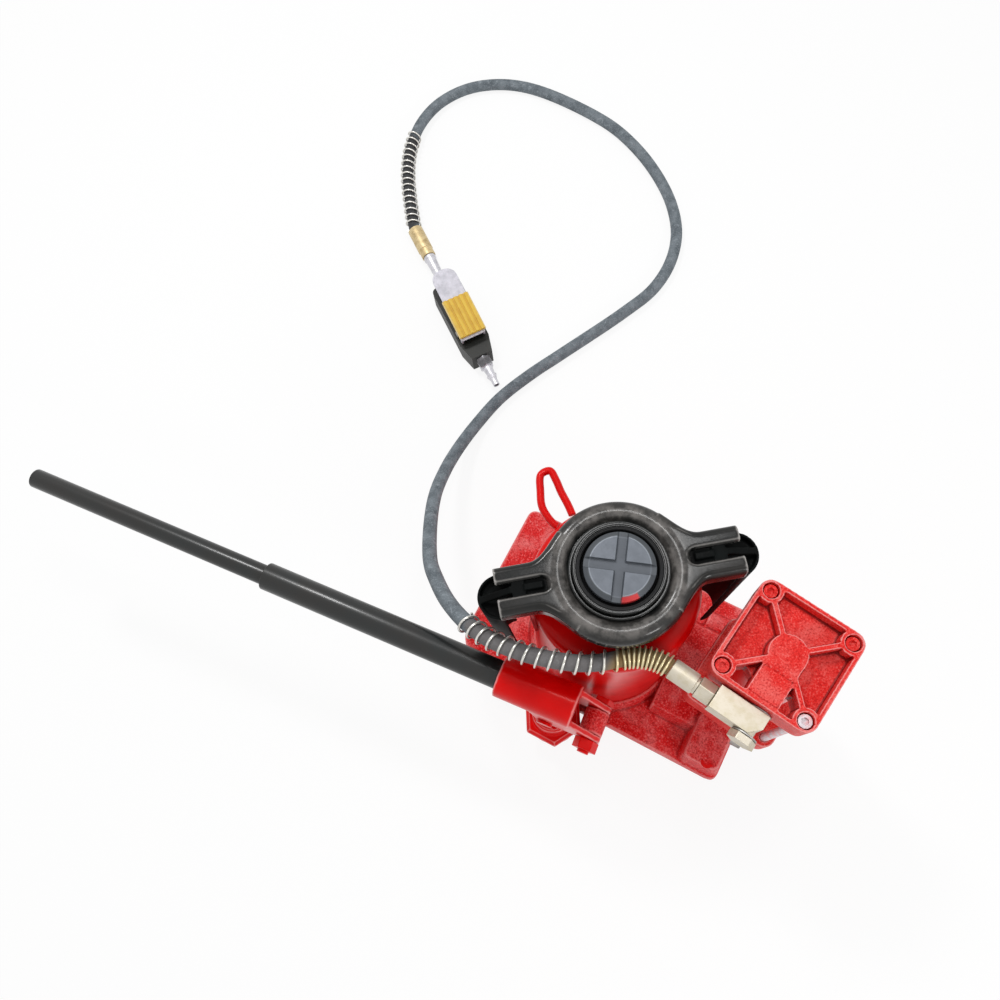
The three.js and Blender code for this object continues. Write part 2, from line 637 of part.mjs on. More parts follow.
function gripShape() {
  // A half-round channel open to the ram. Its fin rises into the arm's slot, to a hook under the arm and a tab.
  const inner = grip.radius - grip.wall;
  const outline = new THREE.Shape();
  outline.absarc(0, 0, grip.radius, -Math.PI / 2, Math.PI / 2);
  outline.lineTo(0, inner);
  outline.absarc(0, 0, inner, Math.PI / 2, -Math.PI / 2, true);
  const channel = new THREE.ExtrudeGeometry(outline, {
    depth: gripTop - grip.bottom, bevelEnabled: false, curveSegments: small / 2,
  });
  const lean = Math.atan2(grip.lean, gripTop - grip.bottom);
  channel.translate(0, 0, grip.bottom - gripTop).rotateY(lean);
  const level = box(-grip.centre, grip.centre, -grip.centre, grip.centre, grip.bottom - gripTop - overrun, 0);
  const crown = grip.centre + grip.radius - grip.wall / 2;
  const hookTop = armTop - yoke.sheet - gap;
  const hookFoot = hookTop - grip.finThickness;
  const fin = polygon([
    [grip.hookStart, hookFoot], [grip.finEnd, hookFoot], [crown, gripTop - grip.finDrop], [crown, gripTop],
    [grip.finEnd, hookTop], [grip.hookStart, hookTop],
  ]);
  const tabFoot = hookTop + grip.tabRise - grip.tabThickness;
  return join(
    common(channel, level).translate(grip.centre, 0, gripTop),
    upright(prism(fin, -grip.finHalf, grip.finHalf)),
    box(grip.hookStart, grip.finEnd, -grip.hookHalf, grip.hookHalf, hookFoot, hookTop),
    box(grip.tabStart, grip.hookStart + sink, -grip.finHalf, grip.finHalf, tabFoot, hookTop + grip.tabRise),
  );
}

piece('carry_handle', carryHandle(), pressedBlack());
const nutFoot = yokeSeat + yoke.sheet + gap;
piece('handle_nut', sleeve(
  head.neck + gap, head.neck + gap + yokeNut.width, nutFoot, nutFoot + yokeNut.height, fine,
), pressedBlack());
piece('grip_right', gripShape().rotateZ(yoke.turn), pressedBlack());
piece('grip_left', gripShape().rotateZ(yoke.turn + Math.PI), pressedBlack());

// Rod loop and filler plug on the tank

function loopShape() {
  const height = tank.top - loop.drop;
  const path = smoothCurve(loopRoute.map(([x, y]) => new THREE.Vector3(x, y, height)));
  const wall = rod(tank.radius + gap, height - loop.rod - overrun, height + loop.rod + overrun, fine);
  return cut(sweptRod(path, loop.rod, loop.sides, loop.steps), wall);
}

piece('carry_loop', loopShape(), gloss());
piece('filler_plug', join(
  radialPlug(filler.radius, -tank.wall, gap + filler.flangeThickness),
  radialPlug(filler.flange, gap, gap + filler.stand),
), rubber());

// Screws in the base

function releaseScrew() {
  const inner = releaseValve.stand - releaseValve.length;
  const shank = alongX(rod(releaseValve.radius, inner, releaseValve.stand, small));
  const slot = box(
    releaseValve.stand - releaseValve.slotDepth, releaseValve.stand + overrun,
    -releaseValve.slotWidth / 2, releaseValve.slotWidth / 2,
    -releaseValve.radius - overrun, releaseValve.radius + overrun,
  );
  return cut(shank, slot).translate(base.right, -releaseValve.y, releaseValve.z);
}

function overloadPlug() {
  const plug = rod(overload.radius, valveBoss.top - overload.depth + gap, valveBoss.top, small);
  const key = hexagon(overload.socket, valveBoss.top - overload.socketDepth, valveBoss.top + overrun);
  return cut(plug, key).translate(overload.x, -overload.y, 0);
}

piece('release_valve', releaseScrew(), steel());
piece('overload_plug', overloadPlug(), gloss());

// Hand pump

const glandFoot = pumpBody.top + gap;
const plungerShoulder = plungerPinZ - plunger.tongueDrop;
const plungerTop = plungerPinZ + plunger.tongueRise;
const plungerBore = plunger.radius + slip;
const cheekInner = lug.half + slip;
const cheekOuter = cheekInner + socket.cheek;

function pumpBodyShape() {
  // A hexagon square to the base, with a round barrel above it.
  const hexTop = bodySeat + pumpBody.hexHeight;
  const corner = pumpBody.flats / 2 / Math.cos(Math.PI / hexSides);
  const hexBody = hexagon(pumpBody.flats, bodySeat, hexTop).rotateZ(-pump.turn);
  const envelope = cone(corner + pumpBody.hexHeight, corner - pumpBody.chamfer, bodySeat, hexTop);
  const barrelTube = turned([
    [0, bodySeat], [pumpBody.radius, bodySeat], [pumpBody.radius, pumpBody.top - pumpBody.chamfer],
    [pumpBody.radius - pumpBody.chamfer, pumpBody.top], [0, pumpBody.top],
  ]);
  const spigotFoot = base.seatTop - pumpBody.spigotDepth;
  const spigot = rod(pumpBody.spigot, spigotFoot + gap, bodySeat + overrun);
  const chamber = rod(plungerBore, spigotFoot + pumpBody.floor, pumpBody.top + overrun);
  return cut(join(common(hexBody, envelope), barrelTube, spigot), chamber);
}

function plungerShape() {
  const shaft = rod(plunger.radius, plunger.foot, plungerShoulder);
  const tongue = box(
    -plunger.radius, plunger.radius, -plunger.tongueHalf, plunger.tongueHalf,
    plungerShoulder - overrun, plungerTop,
  );
  const rounded = common(tongue, rod(plunger.radius, plunger.foot, plungerTop));
  const slotHalf = plungerPin.radius + plungerPin.lift;
  const reach = plungerPin.slide;
  const eye = (x) => alongY(rod(slotHalf, -plunger.tongueHalf - overrun, plunger.tongueHalf + overrun, small))
    .translate(x, 0, plungerPinZ);
  const middle = box(
    -reach, reach, -plunger.tongueHalf - overrun, plunger.tongueHalf + overrun,
    plungerPinZ - slotHalf * Math.cos(Math.PI / small), plungerPinZ + slotHalf * Math.cos(Math.PI / small),
  );
  return cut(join(shaft, rounded), eye(-reach), eye(reach), middle);
}

function plungerPinShape() {
  const shank = alongY(rod(plungerPin.radius, -cheekOuter - gap - sink, cheekOuter + gap, small));
  const capFar = -cheekOuter - gap;
  const cap = alongY(rod(plungerPin.head, capFar - plungerPin.headThickness, capFar, small));
  return join(shank, cap).translate(0, 0, plungerPinZ);
}

function socketShape() {
  const barrelTube = alongX(rod(socket.radius, -socket.left, socket.right)).translate(0, 0, socketZ);
  const drop = socketZ - socket.cheekDrop;
  const outline = hullOutline([
    [0, plungerPinZ, socket.pinEye], [fulcrum.x, fulcrum.z, fulcrum.eye],
    [-socket.cheekLeft, drop, socket.cheek / 2], [socket.right - socket.cheek / 2, drop, socket.cheek / 2],
  ]);
  const cheek = (y) => upright(prism(outline, -y - socket.cheek, -y));
  const bored = alongX(rod(handle.radius + gap, -socket.left - overrun, -socket.left + socket.bore));
  const hole = (x, z, radius) =>
    alongY(rod(radius + gap, -cheekOuter - overrun, cheekOuter + overrun, small)).translate(x, 0, z);
  return cut(
    join(barrelTube, cheek(cheekInner), cheek(-cheekOuter)), bored.translate(0, 0, socketZ),
    hole(0, plungerPinZ, plungerPin.radius), hole(fulcrum.x, fulcrum.z, fulcrum.radius),
  );
}

function fulcrumBolt() {
  const tail = -cheekOuter - gap - fulcrum.nutThickness - fulcrum.tail;
  const shank = alongY(rod(fulcrum.radius, tail, cheekOuter + gap + sink, small));
  const cap = alongY(hexagon(fulcrum.flats, cheekOuter + gap, cheekOuter + gap + fulcrum.headThickness));
  return join(shank, cap).translate(fulcrum.x, 0, fulcrum.z);
}

function fulcrumNut() {
  const near = -cheekOuter - gap;
  const nut = alongY(hexagon(fulcrum.flats, near - fulcrum.nutThickness, near));
  const hole = alongY(rod(fulcrum.radius + gap, near - fulcrum.nutThickness - overrun, near + overrun, small));
  return cut(nut, hole).translate(fulcrum.x, 0, fulcrum.z);
}

const handleRight = -socket.left + socket.bore - gap;

piece('pump_body', pumpBodyShape(), gloss(), pumpGroup);
piece('pump_gland', cut(
  hexagon(gland.flats, glandFoot, glandFoot + gland.height),
  rod(plungerBore, glandFoot - overrun, glandFoot + gland.height + overrun),
), gloss(), pumpGroup);
piece('pump_plunger', plungerShape(), chrome(), pumpGroup);
piece('plunger_pin', plungerPinShape(), steel(), pumpGroup);
piece('handle_socket', socketShape(), gloss(), pumpGroup);
piece('fulcrum_bolt', fulcrumBolt(), steel(), pumpGroup);
piece('fulcrum_nut', fulcrumNut(), gloss(), pumpGroup);
piece('handle_tube', alongX(sleeve(handle.radius - handle.wall, handle.radius, -handle.left, handleRight))
  .translate(0, 0, socketZ), pressedBlack(), pumpGroup);
piece('handle_extension', alongX(sleeve(
  extension.radius - extension.wall, extension.radius, -extension.left, -handle.left + extension.overlap,
)).translate(0, 0, socketZ), pressedBlack(), pumpGroup);

// Air motor

const upperFoot = motorHead.upperTop - motorHead.height;
const lowerFoot = motorHead.lowerTop - motorHead.height;
const headHalf = motorHead.pitch / 2 + motorHead.edge;
const blockZ = motorHead.upperTop - block.drop;
const boltPlaces = [[-1, -1], [1, -1], [1, 1], [-1, 1]].map(
  (way) => way.map((sign) => sign * motorHead.pitch / 2),
);

function headCasting() {
  // A square casting with its top at z = 0. Its pockets open upward, and two at the front go right through.
  const slab = prism(squareOutline(headHalf, motorHead.corner), -motorHead.height, 0);
  const inner = headHalf - motorHead.rim;
  const innerOutline = () => squareOutline(inner, motorHead.corner - motorHead.rim);
  const pocket = prism(innerOutline(), motorHead.floor - motorHead.height, overrun);
  const diagonal = Math.SQRT2 * motorHead.pitch / 2;
  const rib = (angle) => box(
    -diagonal, diagonal, -motorHead.rib / 2, motorHead.rib / 2, -motorHead.height - overrun, overrun + gap,
  ).rotateZ(angle);
  const boss = rod(motorHead.boss, -motorHead.height - overrun, overrun + gap);
  const ears = boltPlaces.map(([x, y]) =>
    rod(motorHead.ear, -motorHead.height - overrun, overrun + gap, small).translate(x, y, 0));
  const duct = box(
    -motorHead.ductLeft, motorHead.ductRight, -headHalf, 0, -motorHead.height - overrun, overrun + gap,
  );
  const walls = join(rib(Math.PI / 4), rib(-Math.PI / 4), boss, ...ears, duct);
  const front = polygon([[0, 0], [-headHalf, -headHalf], [headHalf, -headHalf]]);
  const through = common(
    prism(front, -motorHead.height - overrun, overrun),
    prism(innerOutline(), -motorHead.height - overrun, overrun),
  );
  const core = rod(motorCylinder.radius + gap, -motorHead.height - overrun, motorHead.floor - motorHead.height);
  const lowered = box(
    -motorHead.ductLeft + gap, motorHead.ductRight - gap, -inner, -motorHead.boss, -motorHead.ductDrop, overrun,
  );
  let shape = cut(slab, cut(pocket, walls), cut(through, walls, core), lowered);
  for (const [x, y] of boltPlaces) {
    const hole = rod(tieBolt.radius + gap, -motorHead.height - overrun, overrun, small);
    shape = cut(shape, hole.translate(x, y, 0));
  }
  return shape;
}

function upperHead() {
  let shape = headCasting().translate(0, 0, motorHead.upperTop);
  const recessFoot = motorHead.upperTop - tieBolt.counterboreDepth;
  for (const [x, y] of boltPlaces) {
    const recess = rod(tieBolt.counterbore, recessFoot, motorHead.upperTop + overrun, small);
    shape = cut(shape, recess.translate(x, y, 0));
  }
  const port = alongY(rod(banjo.radius + gap, -headHalf - overrun, banjo.reach - headHalf + gap, small));
  return cut(shape, port.translate(banjo.x, 0, blockZ));
}

function lowerHead() {
  const casting = headCasting().rotateY(Math.PI).translate(0, 0, lowerFoot);
  return cut(casting, rod(airPlunger.radius + slip, lowerFoot - overrun, motorHead.lowerTop + overrun, small));
}

function tieBoltShape() {
  const headTop = motorHead.upperTop - tieBolt.counterboreDepth + gap + tieBolt.headHeight;
  const shank = rod(tieBolt.radius, lowerFoot - tieBolt.tail, headTop - tieBolt.headHeight / 2, small);
  const cap = rod(tieBolt.head, headTop - tieBolt.headHeight, headTop, small);
  const key = hexagon(tieBolt.hexFlats, headTop - tieBolt.hexDepth, headTop + overrun);
  return cut(join(shank, cap), key);
}

function airPistonShape() {
  const outer = motorCylinder.radius - motorCylinder.wall - slip;
  const top = upperFoot - gap;
  const groove = top - airPiston.height / 2 - airPiston.sealWidth / 2;
  return turned([
    [0, top - airPiston.height], [outer, top - airPiston.height], [outer, groove],
    [outer - airPiston.sealDepth, groove], [outer - airPiston.sealDepth, groove + airPiston.sealWidth],
    [outer, groove + airPiston.sealWidth], [outer, top], [0, top],
  ]);
}

function airSealShape() {
  const outer = motorCylinder.radius - motorCylinder.wall - gap / 2;
  const middle = upperFoot - gap - airPiston.height / 2;
  const inner = outer + gap / 2 - slip - airPiston.sealDepth + gap;
  return sleeve(inner, outer, middle - airPiston.sealWidth / 2 + gap, middle + airPiston.sealWidth / 2 - gap);
}

function barrelShape() {
  const foot = barrelSeat + gap;
  const shape = join(
    rod(barrel.radius, foot, lowerFoot - gap),
    rod(barrel.spigot, foot - barrel.spigotDepth, foot + overrun),
  );
  const chamber = airPlunger.foot - motor.stroke - overrun;
  return cut(shape, rod(airPlunger.radius + slip, chamber, lowerFoot + overrun, small));
}

piece('motor_barrel', barrelShape(), castRed(), motorGroup);
piece('motor_lower_head', lowerHead(), castRed(), motorGroup);
piece('motor_cylinder', sleeve(
  motorCylinder.radius - motorCylinder.wall, motorCylinder.radius, motorHead.lowerTop + gap, upperFoot - gap,
), gloss(), motorGroup);
piece('motor_upper_head', upperHead(), castRed(), motorGroup);
boltPlaces.forEach(([x, y], i) => {
  piece(`tie_bolt_${i + 1}`, tieBoltShape().translate(x, y, 0), steel(), motorGroup);
});
piece('air_piston', airPistonShape(), steel(), motorGroup);
piece('air_piston_seal', airSealShape(), rubber(), motorGroup);
const airPistonFoot = upperFoot - gap - airPiston.height;
piece('air_plunger', rod(airPlunger.radius, airPlunger.foot, airPistonFoot - gap, small), chrome(), motorGroup);

// Wound wire

function woundTube(points, normals, radius, sides) {
  // One closed tube through the points. Each ring's first corner lies along the normal given there.
  const rings = points.map((point, i) => {
    const before = points[Math.max(i - 1, 0)];
    const after = points[Math.min(i + 1, points.length - 1)];
    const along = after.clone().sub(before).normalize();
    const first = normals[i].clone().addScaledVector(along, -normals[i].dot(along)).normalize();
    const second = along.clone().cross(first);
    return Array.from({ length: sides }, (_, k) => {
      const angle = 2 * Math.PI * k / sides;
      const outward = first.clone().multiplyScalar(Math.cos(angle)).addScaledVector(second, Math.sin(angle));
      return point.clone().addScaledVector(outward, radius);
    });
  });
  const corners = [...rings.flat(), points[0], points[points.length - 1]];
  const faces = [];
  for (let i = 0; i + 1 < rings.length; i += 1) {
    for (let k = 0; k < sides; k += 1) {
      const [a, b] = [i * sides + k, i * sides + (k + 1) % sides];
      faces.push(a, b, b + sides, a, b + sides, a + sides);
    }
  }
  const [firstCap, lastCap] = [corners.length - 2, corners.length - 1];
  const lastRing = (rings.length - 1) * sides;
  for (let k = 0; k < sides; k += 1) {
    faces.push(firstCap, (k + 1) % sides, k, lastCap, lastRing + k, lastRing + (k + 1) % sides);
  }
  const geometry = new THREE.BufferGeometry();
  const values = new Float32Array(corners.flatMap((p) => p.toArray()));
  geometry.setAttribute('position', new THREE.BufferAttribute(values, 3));
  geometry.setIndex(faces);
  return geometry;
}

function leastGap(points, radius, skip) {
  // The least gap between stretches of the wire at least a part turn apart.
  let least = Infinity;
  for (let i = 0; i < points.length; i += 1) {
    for (let j = i + skip; j < Math.min(points.length, i + 3 * skip); j += 1) {
      least = Math.min(least, points[i].distanceTo(points[j]));
    }
  }
  return least - 2 * radius;
}

function coil(name, frameAt, turnsAt, coils, coilRadius, wire) {
  // frameAt gives the centre and two cross directions at a share of the length, turnsAt the turns by then.
  const points = [];
  const normals = [];
  const count = coils * guard.steps;
  for (let i = 0; i <= count; i += 1) {
    const turns = coils * i / count;
    const { centre, across, up } = frameAt(turnsAt(turns));
    const angle = 2 * Math.PI * turns;
    const outward = across.clone().multiplyScalar(Math.cos(angle)).addScaledVector(up, Math.sin(angle));
    points.push(centre.clone().addScaledVector(outward, coilRadius));
    normals.push(outward);
  }
  const straight = 2 * wire;
  const start = points[0].clone().sub(points[1]).normalize();
  const end = points.at(-1).clone().sub(points.at(-2)).normalize();
  points.unshift(points[0].clone().addScaledVector(start, straight));
  points.push(points.at(-1).clone().addScaledVector(end, straight));
  normals.unshift(normals[0]);
  normals.push(normals.at(-1));
  console.log(`${name}: least gap to itself ${leastGap(points, wire, guard.steps - 2).toFixed(2)} mm`);
  return woundTube(points, normals, wire, guard.sides);
}

// Inside the air cylinder, a plain sleeve stands for the return spring.
piece('return_spring', sleeve(
  returnSpring.radius - returnSpring.wire, returnSpring.radius + returnSpring.wire,
  motorHead.lowerTop + gap, airPistonFoot - gap,
), springSteel(), motorGroup);

// Air connection

const blockBack = -headHalf - 2 * gap - banjo.washerThickness;
const blockFront = blockBack - block.width;
const hoseLine = (blockBack + blockFront) / 2;

function connectorBlock() {
  const outline = polygon([
    [-block.left, blockFront], [block.right - block.chamfer, blockFront],
    [block.right, blockFront + block.chamfer],
    [block.right, blockBack], [-block.left, blockBack],
  ]);
  const shape = prism(outline, blockZ - block.height / 2, blockZ + block.height / 2);
  const boltHole = alongY(rod(banjo.radius + gap, blockFront - overrun, blockBack + overrun, small));
  const port = alongX(rod(block.port + gap, -block.left - overrun, banjo.x, small));
  return cut(shape, boltHole.translate(banjo.x, 0, blockZ), port.translate(0, hoseLine, blockZ));
}

function banjoBolt() {
  const near = blockFront - banjo.washerThickness - 2 * gap;
  const shank = alongY(rod(banjo.radius, near - sink, -headHalf + banjo.reach, small));
  const cap = alongY(hexagon(banjo.flats, near - banjo.headThickness, near));
  return join(shank, cap).translate(banjo.x, 0, blockZ);
}

function banjoWasher(far) {
  // A washer round the banjo bolt, on the side of the motor from far.
  const ring = sleeve(banjo.radius + gap, banjo.washer, far - banjo.washerThickness, far, small);
  return alongY(ring).translate(banjo.x, 0, blockZ);
}

const nutRight = -block.left - gap;
const nutLeft = nutRight - swivelNut.length;
const collarLeft = nutLeft - gap - hoseFerrule.collarLength;
const ferruleLeft = collarLeft - hoseFerrule.length;

function swivelNutShape() {
  const nut = alongX(hexagon(swivelNut.flats, nutLeft, nutRight));
  const stemRod = alongX(rod(block.port, nutRight - overrun, nutRight + swivelNut.stem, small));
  return join(nut, stemRod).translate(0, hoseLine, blockZ);
}

function ferruleShape() {
  return alongX(turned([
    [0, ferruleLeft], [hoseFerrule.radius - hoseFerrule.lip, ferruleLeft],
    [hoseFerrule.radius, ferruleLeft + hoseFerrule.lip], [hoseFerrule.radius, collarLeft - hoseFerrule.lip],
    [hoseFerrule.radius - hoseFerrule.lip, collarLeft], [hoseFerrule.collar, collarLeft],
    [hoseFerrule.collar, nutLeft - gap], [0, nutLeft - gap],
  ])).translate(0, hoseLine, blockZ);
}

piece('connector_block', connectorBlock(), zinc(), motorGroup);
piece('banjo_bolt', banjoBolt(), zinc(), motorGroup);
piece('banjo_washer', banjoWasher(blockFront - gap), steel(), motorGroup);
piece('motor_washer', banjoWasher(-headHalf - gap), steel(), motorGroup);
piece('hose_swivel_nut', swivelNutShape(), zinc(), motorGroup);
piece('hose_ferrule', ferruleShape(), zinc(), motorGroup);

// Hose and guard springs

jack.updateMatrixWorld(true);
const atMotor = (x) => motorGroup.localToWorld(new THREE.Vector3(x, hoseLine, blockZ));
const atValve = (x) => valveGroup.localToWorld(new THREE.Vector3(x, 0, 0));
const hoseStart = [atMotor(ferruleLeft - gap), atMotor(ferruleLeft - gap - hose.straight)];
const hoseEnd = [atValve(-gap - hose.straight), atValve(-gap)];
const hoseMiddle = hoseRoute.map(([x, y, z]) => new THREE.Vector3(x, y, z));
const hoseCurve = smoothCurve([...hoseStart, ...hoseMiddle, ...hoseEnd]);
const hoseLength = hoseCurve.getLength();
const hosePoints = hoseCurve.getSpacedPoints(hose.steps);

function hoseFrame(distance) {
  // The frame at a distance along the hose, on the straight runs between its rings.
  const place = THREE.MathUtils.clamp(distance / hoseLength, 0, 1) * hose.steps;
  const i = Math.min(Math.floor(place), hose.steps - 1);
  const centre = hosePoints[i].clone().lerp(hosePoints[i + 1], place - i);
  const along = hoseCurve.getTangentAt(THREE.MathUtils.clamp(distance / hoseLength, 0, 1));
  const across = along.clone().cross(new THREE.Vector3(0, 0, 1)).normalize();
  const up = across.clone().cross(along).normalize();
  return { centre, across, up };
}

function guardSpring(name, start, distanceAt, coils) {
  const frameAt = (distance) => hoseFrame(start + distance);
  return coil(name, frameAt, distanceAt, coils, hose.radius + guard.clearance + guard.wire, guard.wire);
}

function motorGuardDistance(turns) {
  const dense = Math.min(turns, motorGuard.denseCoils);
  const open = turns - dense;
  const densePitch = motorGuard.denseLength / motorGuard.denseCoils;
  return dense * densePitch + open * motorGuard.openLength / motorGuard.openCoils;
}

const endRoom = 2 * guard.wire + gap; // a guard spring's wire clears the ferrule beside it
const valveGuardDistance = (turns) => turns * valveGuard.length / valveGuard.coils;

piece('motor_end_spring', guardSpring(
  'motor_end_spring', endRoom, motorGuardDistance, motorGuard.denseCoils + motorGuard.openCoils,
), springSteel());
piece('hose', sweptRod(hoseCurve, hose.radius, hose.sides, hose.steps), hoseGrey());
piece('valve_end_spring', guardSpring(
  'valve_end_spring', hoseLength - valveGuard.length - endRoom, valveGuardDistance, valveGuard.coils,
), springSteel());
console.log(`hose: ${hoseLength.toFixed(0)} mm along its middle`);

// Control valve

const stemLeft = valveFerrule.length + gap;
const bodyLeft = stemLeft + stem.collarLength + stem.length + gap;
const bodyRight = bodyLeft + body.length;
const bodyFloor = gap - valve.z;
const bodyTop = bodyFloor + body.height;
const pivotX = bodyLeft + lever.pivot;
const pivotZ = bodyTop + lever.pinRise;
const earHalf = lever.half - lever.sheet - slip;

function valveFerruleShape() {
  const waist = valveFerrule.radius - valveFerrule.waist;
  const step = valveFerrule.length * valveFerrule.waistShare;
  return alongX(turned([
    [0, 0], [valveFerrule.radius, 0], [valveFerrule.radius, step], [waist, step + valveFerrule.waist],
    [waist, valveFerrule.length], [0, valveFerrule.length],
  ], small));
}

function stemShape() {
  const collarEnd = stemLeft + stem.collarLength;
  return alongX(turned([
    [0, stemLeft], [stem.collar, stemLeft], [stem.collar, collarEnd], [stem.radius, collarEnd],
    [stem.tip, collarEnd + stem.length], [0, collarEnd + stem.length],
  ], small));
}

function valveBodyShape() {
  const tail = bodyRight - body.tailLength;
  const cornerX = bodyLeft + body.corner;
  const outline = new THREE.Shape();
  outline.moveTo(cornerX, -body.half);
  outline.lineTo(tail, -body.half);
  outline.lineTo(bodyRight, -body.tailHalf);
  outline.lineTo(bodyRight, body.tailHalf);
  outline.lineTo(tail, body.half);
  outline.lineTo(cornerX, body.half);
  outline.absarc(cornerX, body.half - body.corner, body.corner, Math.PI / 2, Math.PI);
  outline.absarc(cornerX, body.corner - body.half, body.corner, Math.PI, -Math.PI / 2);
  const main = prism(outline, bodyFloor, bodyTop);
  const ear = alongY(rod(lever.ear, -earHalf, earHalf, small)).translate(pivotX, 0, pivotZ);
  const earFoot = box(pivotX - lever.ear, pivotX + lever.ear, -earHalf, earHalf, bodyTop - sink, pivotZ);
  const pinHole = alongY(rod(lever.pinRadius + gap, -earHalf - overrun, earHalf + overrun, small));
  const buttonFloor = bodyTop - button.depth - button.travel;
  const buttonHole = rod(button.radius + slip, buttonFloor, bodyTop + overrun, small);
  return cut(
    join(main, ear, earFoot),
    pinHole.translate(pivotX, 0, pivotZ),
    buttonHole.translate(pivotX - button.offset, 0, 0),
  );
}

function nippleShape() {
  const left = bodyRight + gap;
  const hexEnd = left + nipple.hexLength;
  const right = left + nipple.length;
  const neckEnd = hexEnd + (right - hexEnd) * nipple.neckShare;
  const beadEnd = neckEnd + nipple.groove;
  const shank = turned([
    [0, hexEnd - sink], [nipple.neck, hexEnd - sink], [nipple.groove, neckEnd], [nipple.bead, neckEnd],
    [nipple.groove, beadEnd], [nipple.tip, right], [0, right],
  ], small);
  return alongX(join(hexagon(nipple.flats, left, hexEnd), shank));
}

const onLever = (shape) => shape.rotateY(lever.rest).translate(pivotX, 0, pivotZ);

function leverShape() {
  // Built flat about its pivot, with the free end towards the hose, then tilted to its rest.
  const outline = roundedOutline(
    -lever.reach, lever.tail, -lever.half, lever.half, [lever.corner, lever.sheet, lever.sheet, lever.corner],
  );
  const sheet = prism(outline, lever.lift, lever.lift + lever.sheet);
  const flange = (y) => box(
    lever.tail - lever.flangeLength, lever.tail - lever.sheet, y, y + lever.sheet,
    -lever.flangeDrop, lever.lift + sink,
  );
  const hole = alongY(rod(lever.pinRadius + gap, -lever.half - overrun, lever.half + overrun, small));
  return onLever(cut(join(sheet, flange(-lever.half), flange(lever.half - lever.sheet)), hole));
}

function padShape() {
  const foot = lever.lift + lever.sheet + gap;
  const top = foot + pad.thickness;
  const slab = box(-pad.left, pad.right, -pad.half, pad.half, foot, top);
  const pitch = 2 * pad.half / pad.ribs;
  const ribHalf = pitch * pad.ribShare / 2;
  const ribs = Array.from({ length: pad.ribs }, (_, i) => {
    const middle = -pad.half + pitch / 2 + pitch * i;
    return box(-pad.left, pad.right, middle - ribHalf, middle + ribHalf, top - sink, top + pad.rib);
  });
  return onLever(join(slab, ...ribs));
}

function leverPinShape() {
  const end = lever.half + gap;
  const shank = alongY(rod(lever.pinRadius, -end - sink, end + sink, small));
  const cap = (y) => alongY(rod(lever.pinHead, y, y + lever.pinHeadThickness, small));
  return join(shank, cap(end), cap(-end - lever.pinHeadThickness)).translate(pivotX, 0, pivotZ);
}

function buttonShape() {
  const leverUnder = pivotZ + (lever.lift * Math.cos(lever.rest) + button.offset * Math.sin(lever.rest));
  const top = leverUnder - gap - button.radius * Math.sin(lever.rest);
  return rod(button.radius, bodyTop - button.depth, top, small).translate(pivotX - button.offset, 0, 0);
}

piece('valve_ferrule', valveFerruleShape(), tanSteel(), valveGroup);
piece('swivel_stem', stemShape(), zinc(), valveGroup);
piece('valve_body', valveBodyShape(), oliveBlack(), valveGroup);
piece('quick_connect_nipple', nippleShape(), zinc(), valveGroup);
piece('valve_lever', leverShape(), zinc(), valveGroup);
piece('lever_pad', padShape(), yellow(), valveGroup);
piece('lever_pin', leverPinShape(), steel(), valveGroup);
piece('valve_stem', buttonShape(), steel(), valveGroup);

export default jack;
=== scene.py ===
import math

import bmesh
import bpy
from mathutils import Matrix, Vector
from mathutils.geometry import tessellate_polygon


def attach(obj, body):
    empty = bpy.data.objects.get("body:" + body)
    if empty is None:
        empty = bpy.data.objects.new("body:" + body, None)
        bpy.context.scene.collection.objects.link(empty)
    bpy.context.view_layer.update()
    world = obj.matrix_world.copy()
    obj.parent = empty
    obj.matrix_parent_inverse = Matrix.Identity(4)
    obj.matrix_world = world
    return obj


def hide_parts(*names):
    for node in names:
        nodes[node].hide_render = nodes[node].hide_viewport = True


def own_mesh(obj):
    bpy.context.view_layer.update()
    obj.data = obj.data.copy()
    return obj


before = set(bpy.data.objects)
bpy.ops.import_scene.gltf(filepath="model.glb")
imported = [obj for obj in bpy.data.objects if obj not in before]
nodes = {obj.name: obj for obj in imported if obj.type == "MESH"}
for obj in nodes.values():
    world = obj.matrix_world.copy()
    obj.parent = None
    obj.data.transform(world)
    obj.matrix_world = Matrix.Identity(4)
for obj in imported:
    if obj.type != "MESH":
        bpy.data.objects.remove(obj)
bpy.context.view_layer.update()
print("frame loaded:", len(nodes), "nodes")

mm = 0.001  # sizes below are in millimetres, and Blender works in metres
noTurn = Matrix()


# Shader maths

class Amount:  # one number in a node tree, which can stand in an expression
    def __init__(self, owner, socket):
        self.owner = owner
        self.socket = socket

    def work(self, operation, *values):
        return self.owner.node("ShaderNodeMath", {"operation": operation}, dict(enumerate(values)))

    def __add__(self, other):
        return self.work("ADD", self, other)

    def __radd__(self, other):
        return self.work("ADD", other, self)

    def __sub__(self, other):
        return self.work("SUBTRACT", self, other)

    def __rsub__(self, other):
        return self.work("SUBTRACT", other, self)

    def __mul__(self, other):
        return self.work("MULTIPLY", self, other)

    def __rmul__(self, other):
        return self.work("MULTIPLY", other, self)

    def __truediv__(self, other):
        return self.work("DIVIDE", self, other)

    def __pow__(self, power):
        return self.work("POWER", self, power)

    def largest(self, other):
        return self.work("MAXIMUM", self, other)

    def between(self, low, high):  # 0 below low, 1 above high, and smooth from one to the other
        settings = {"interpolation_type": "SMOOTHSTEP"}
        return self.owner.node("ShaderNodeMapRange", settings, {"Value": self, "From Min": low, "From Max": high})


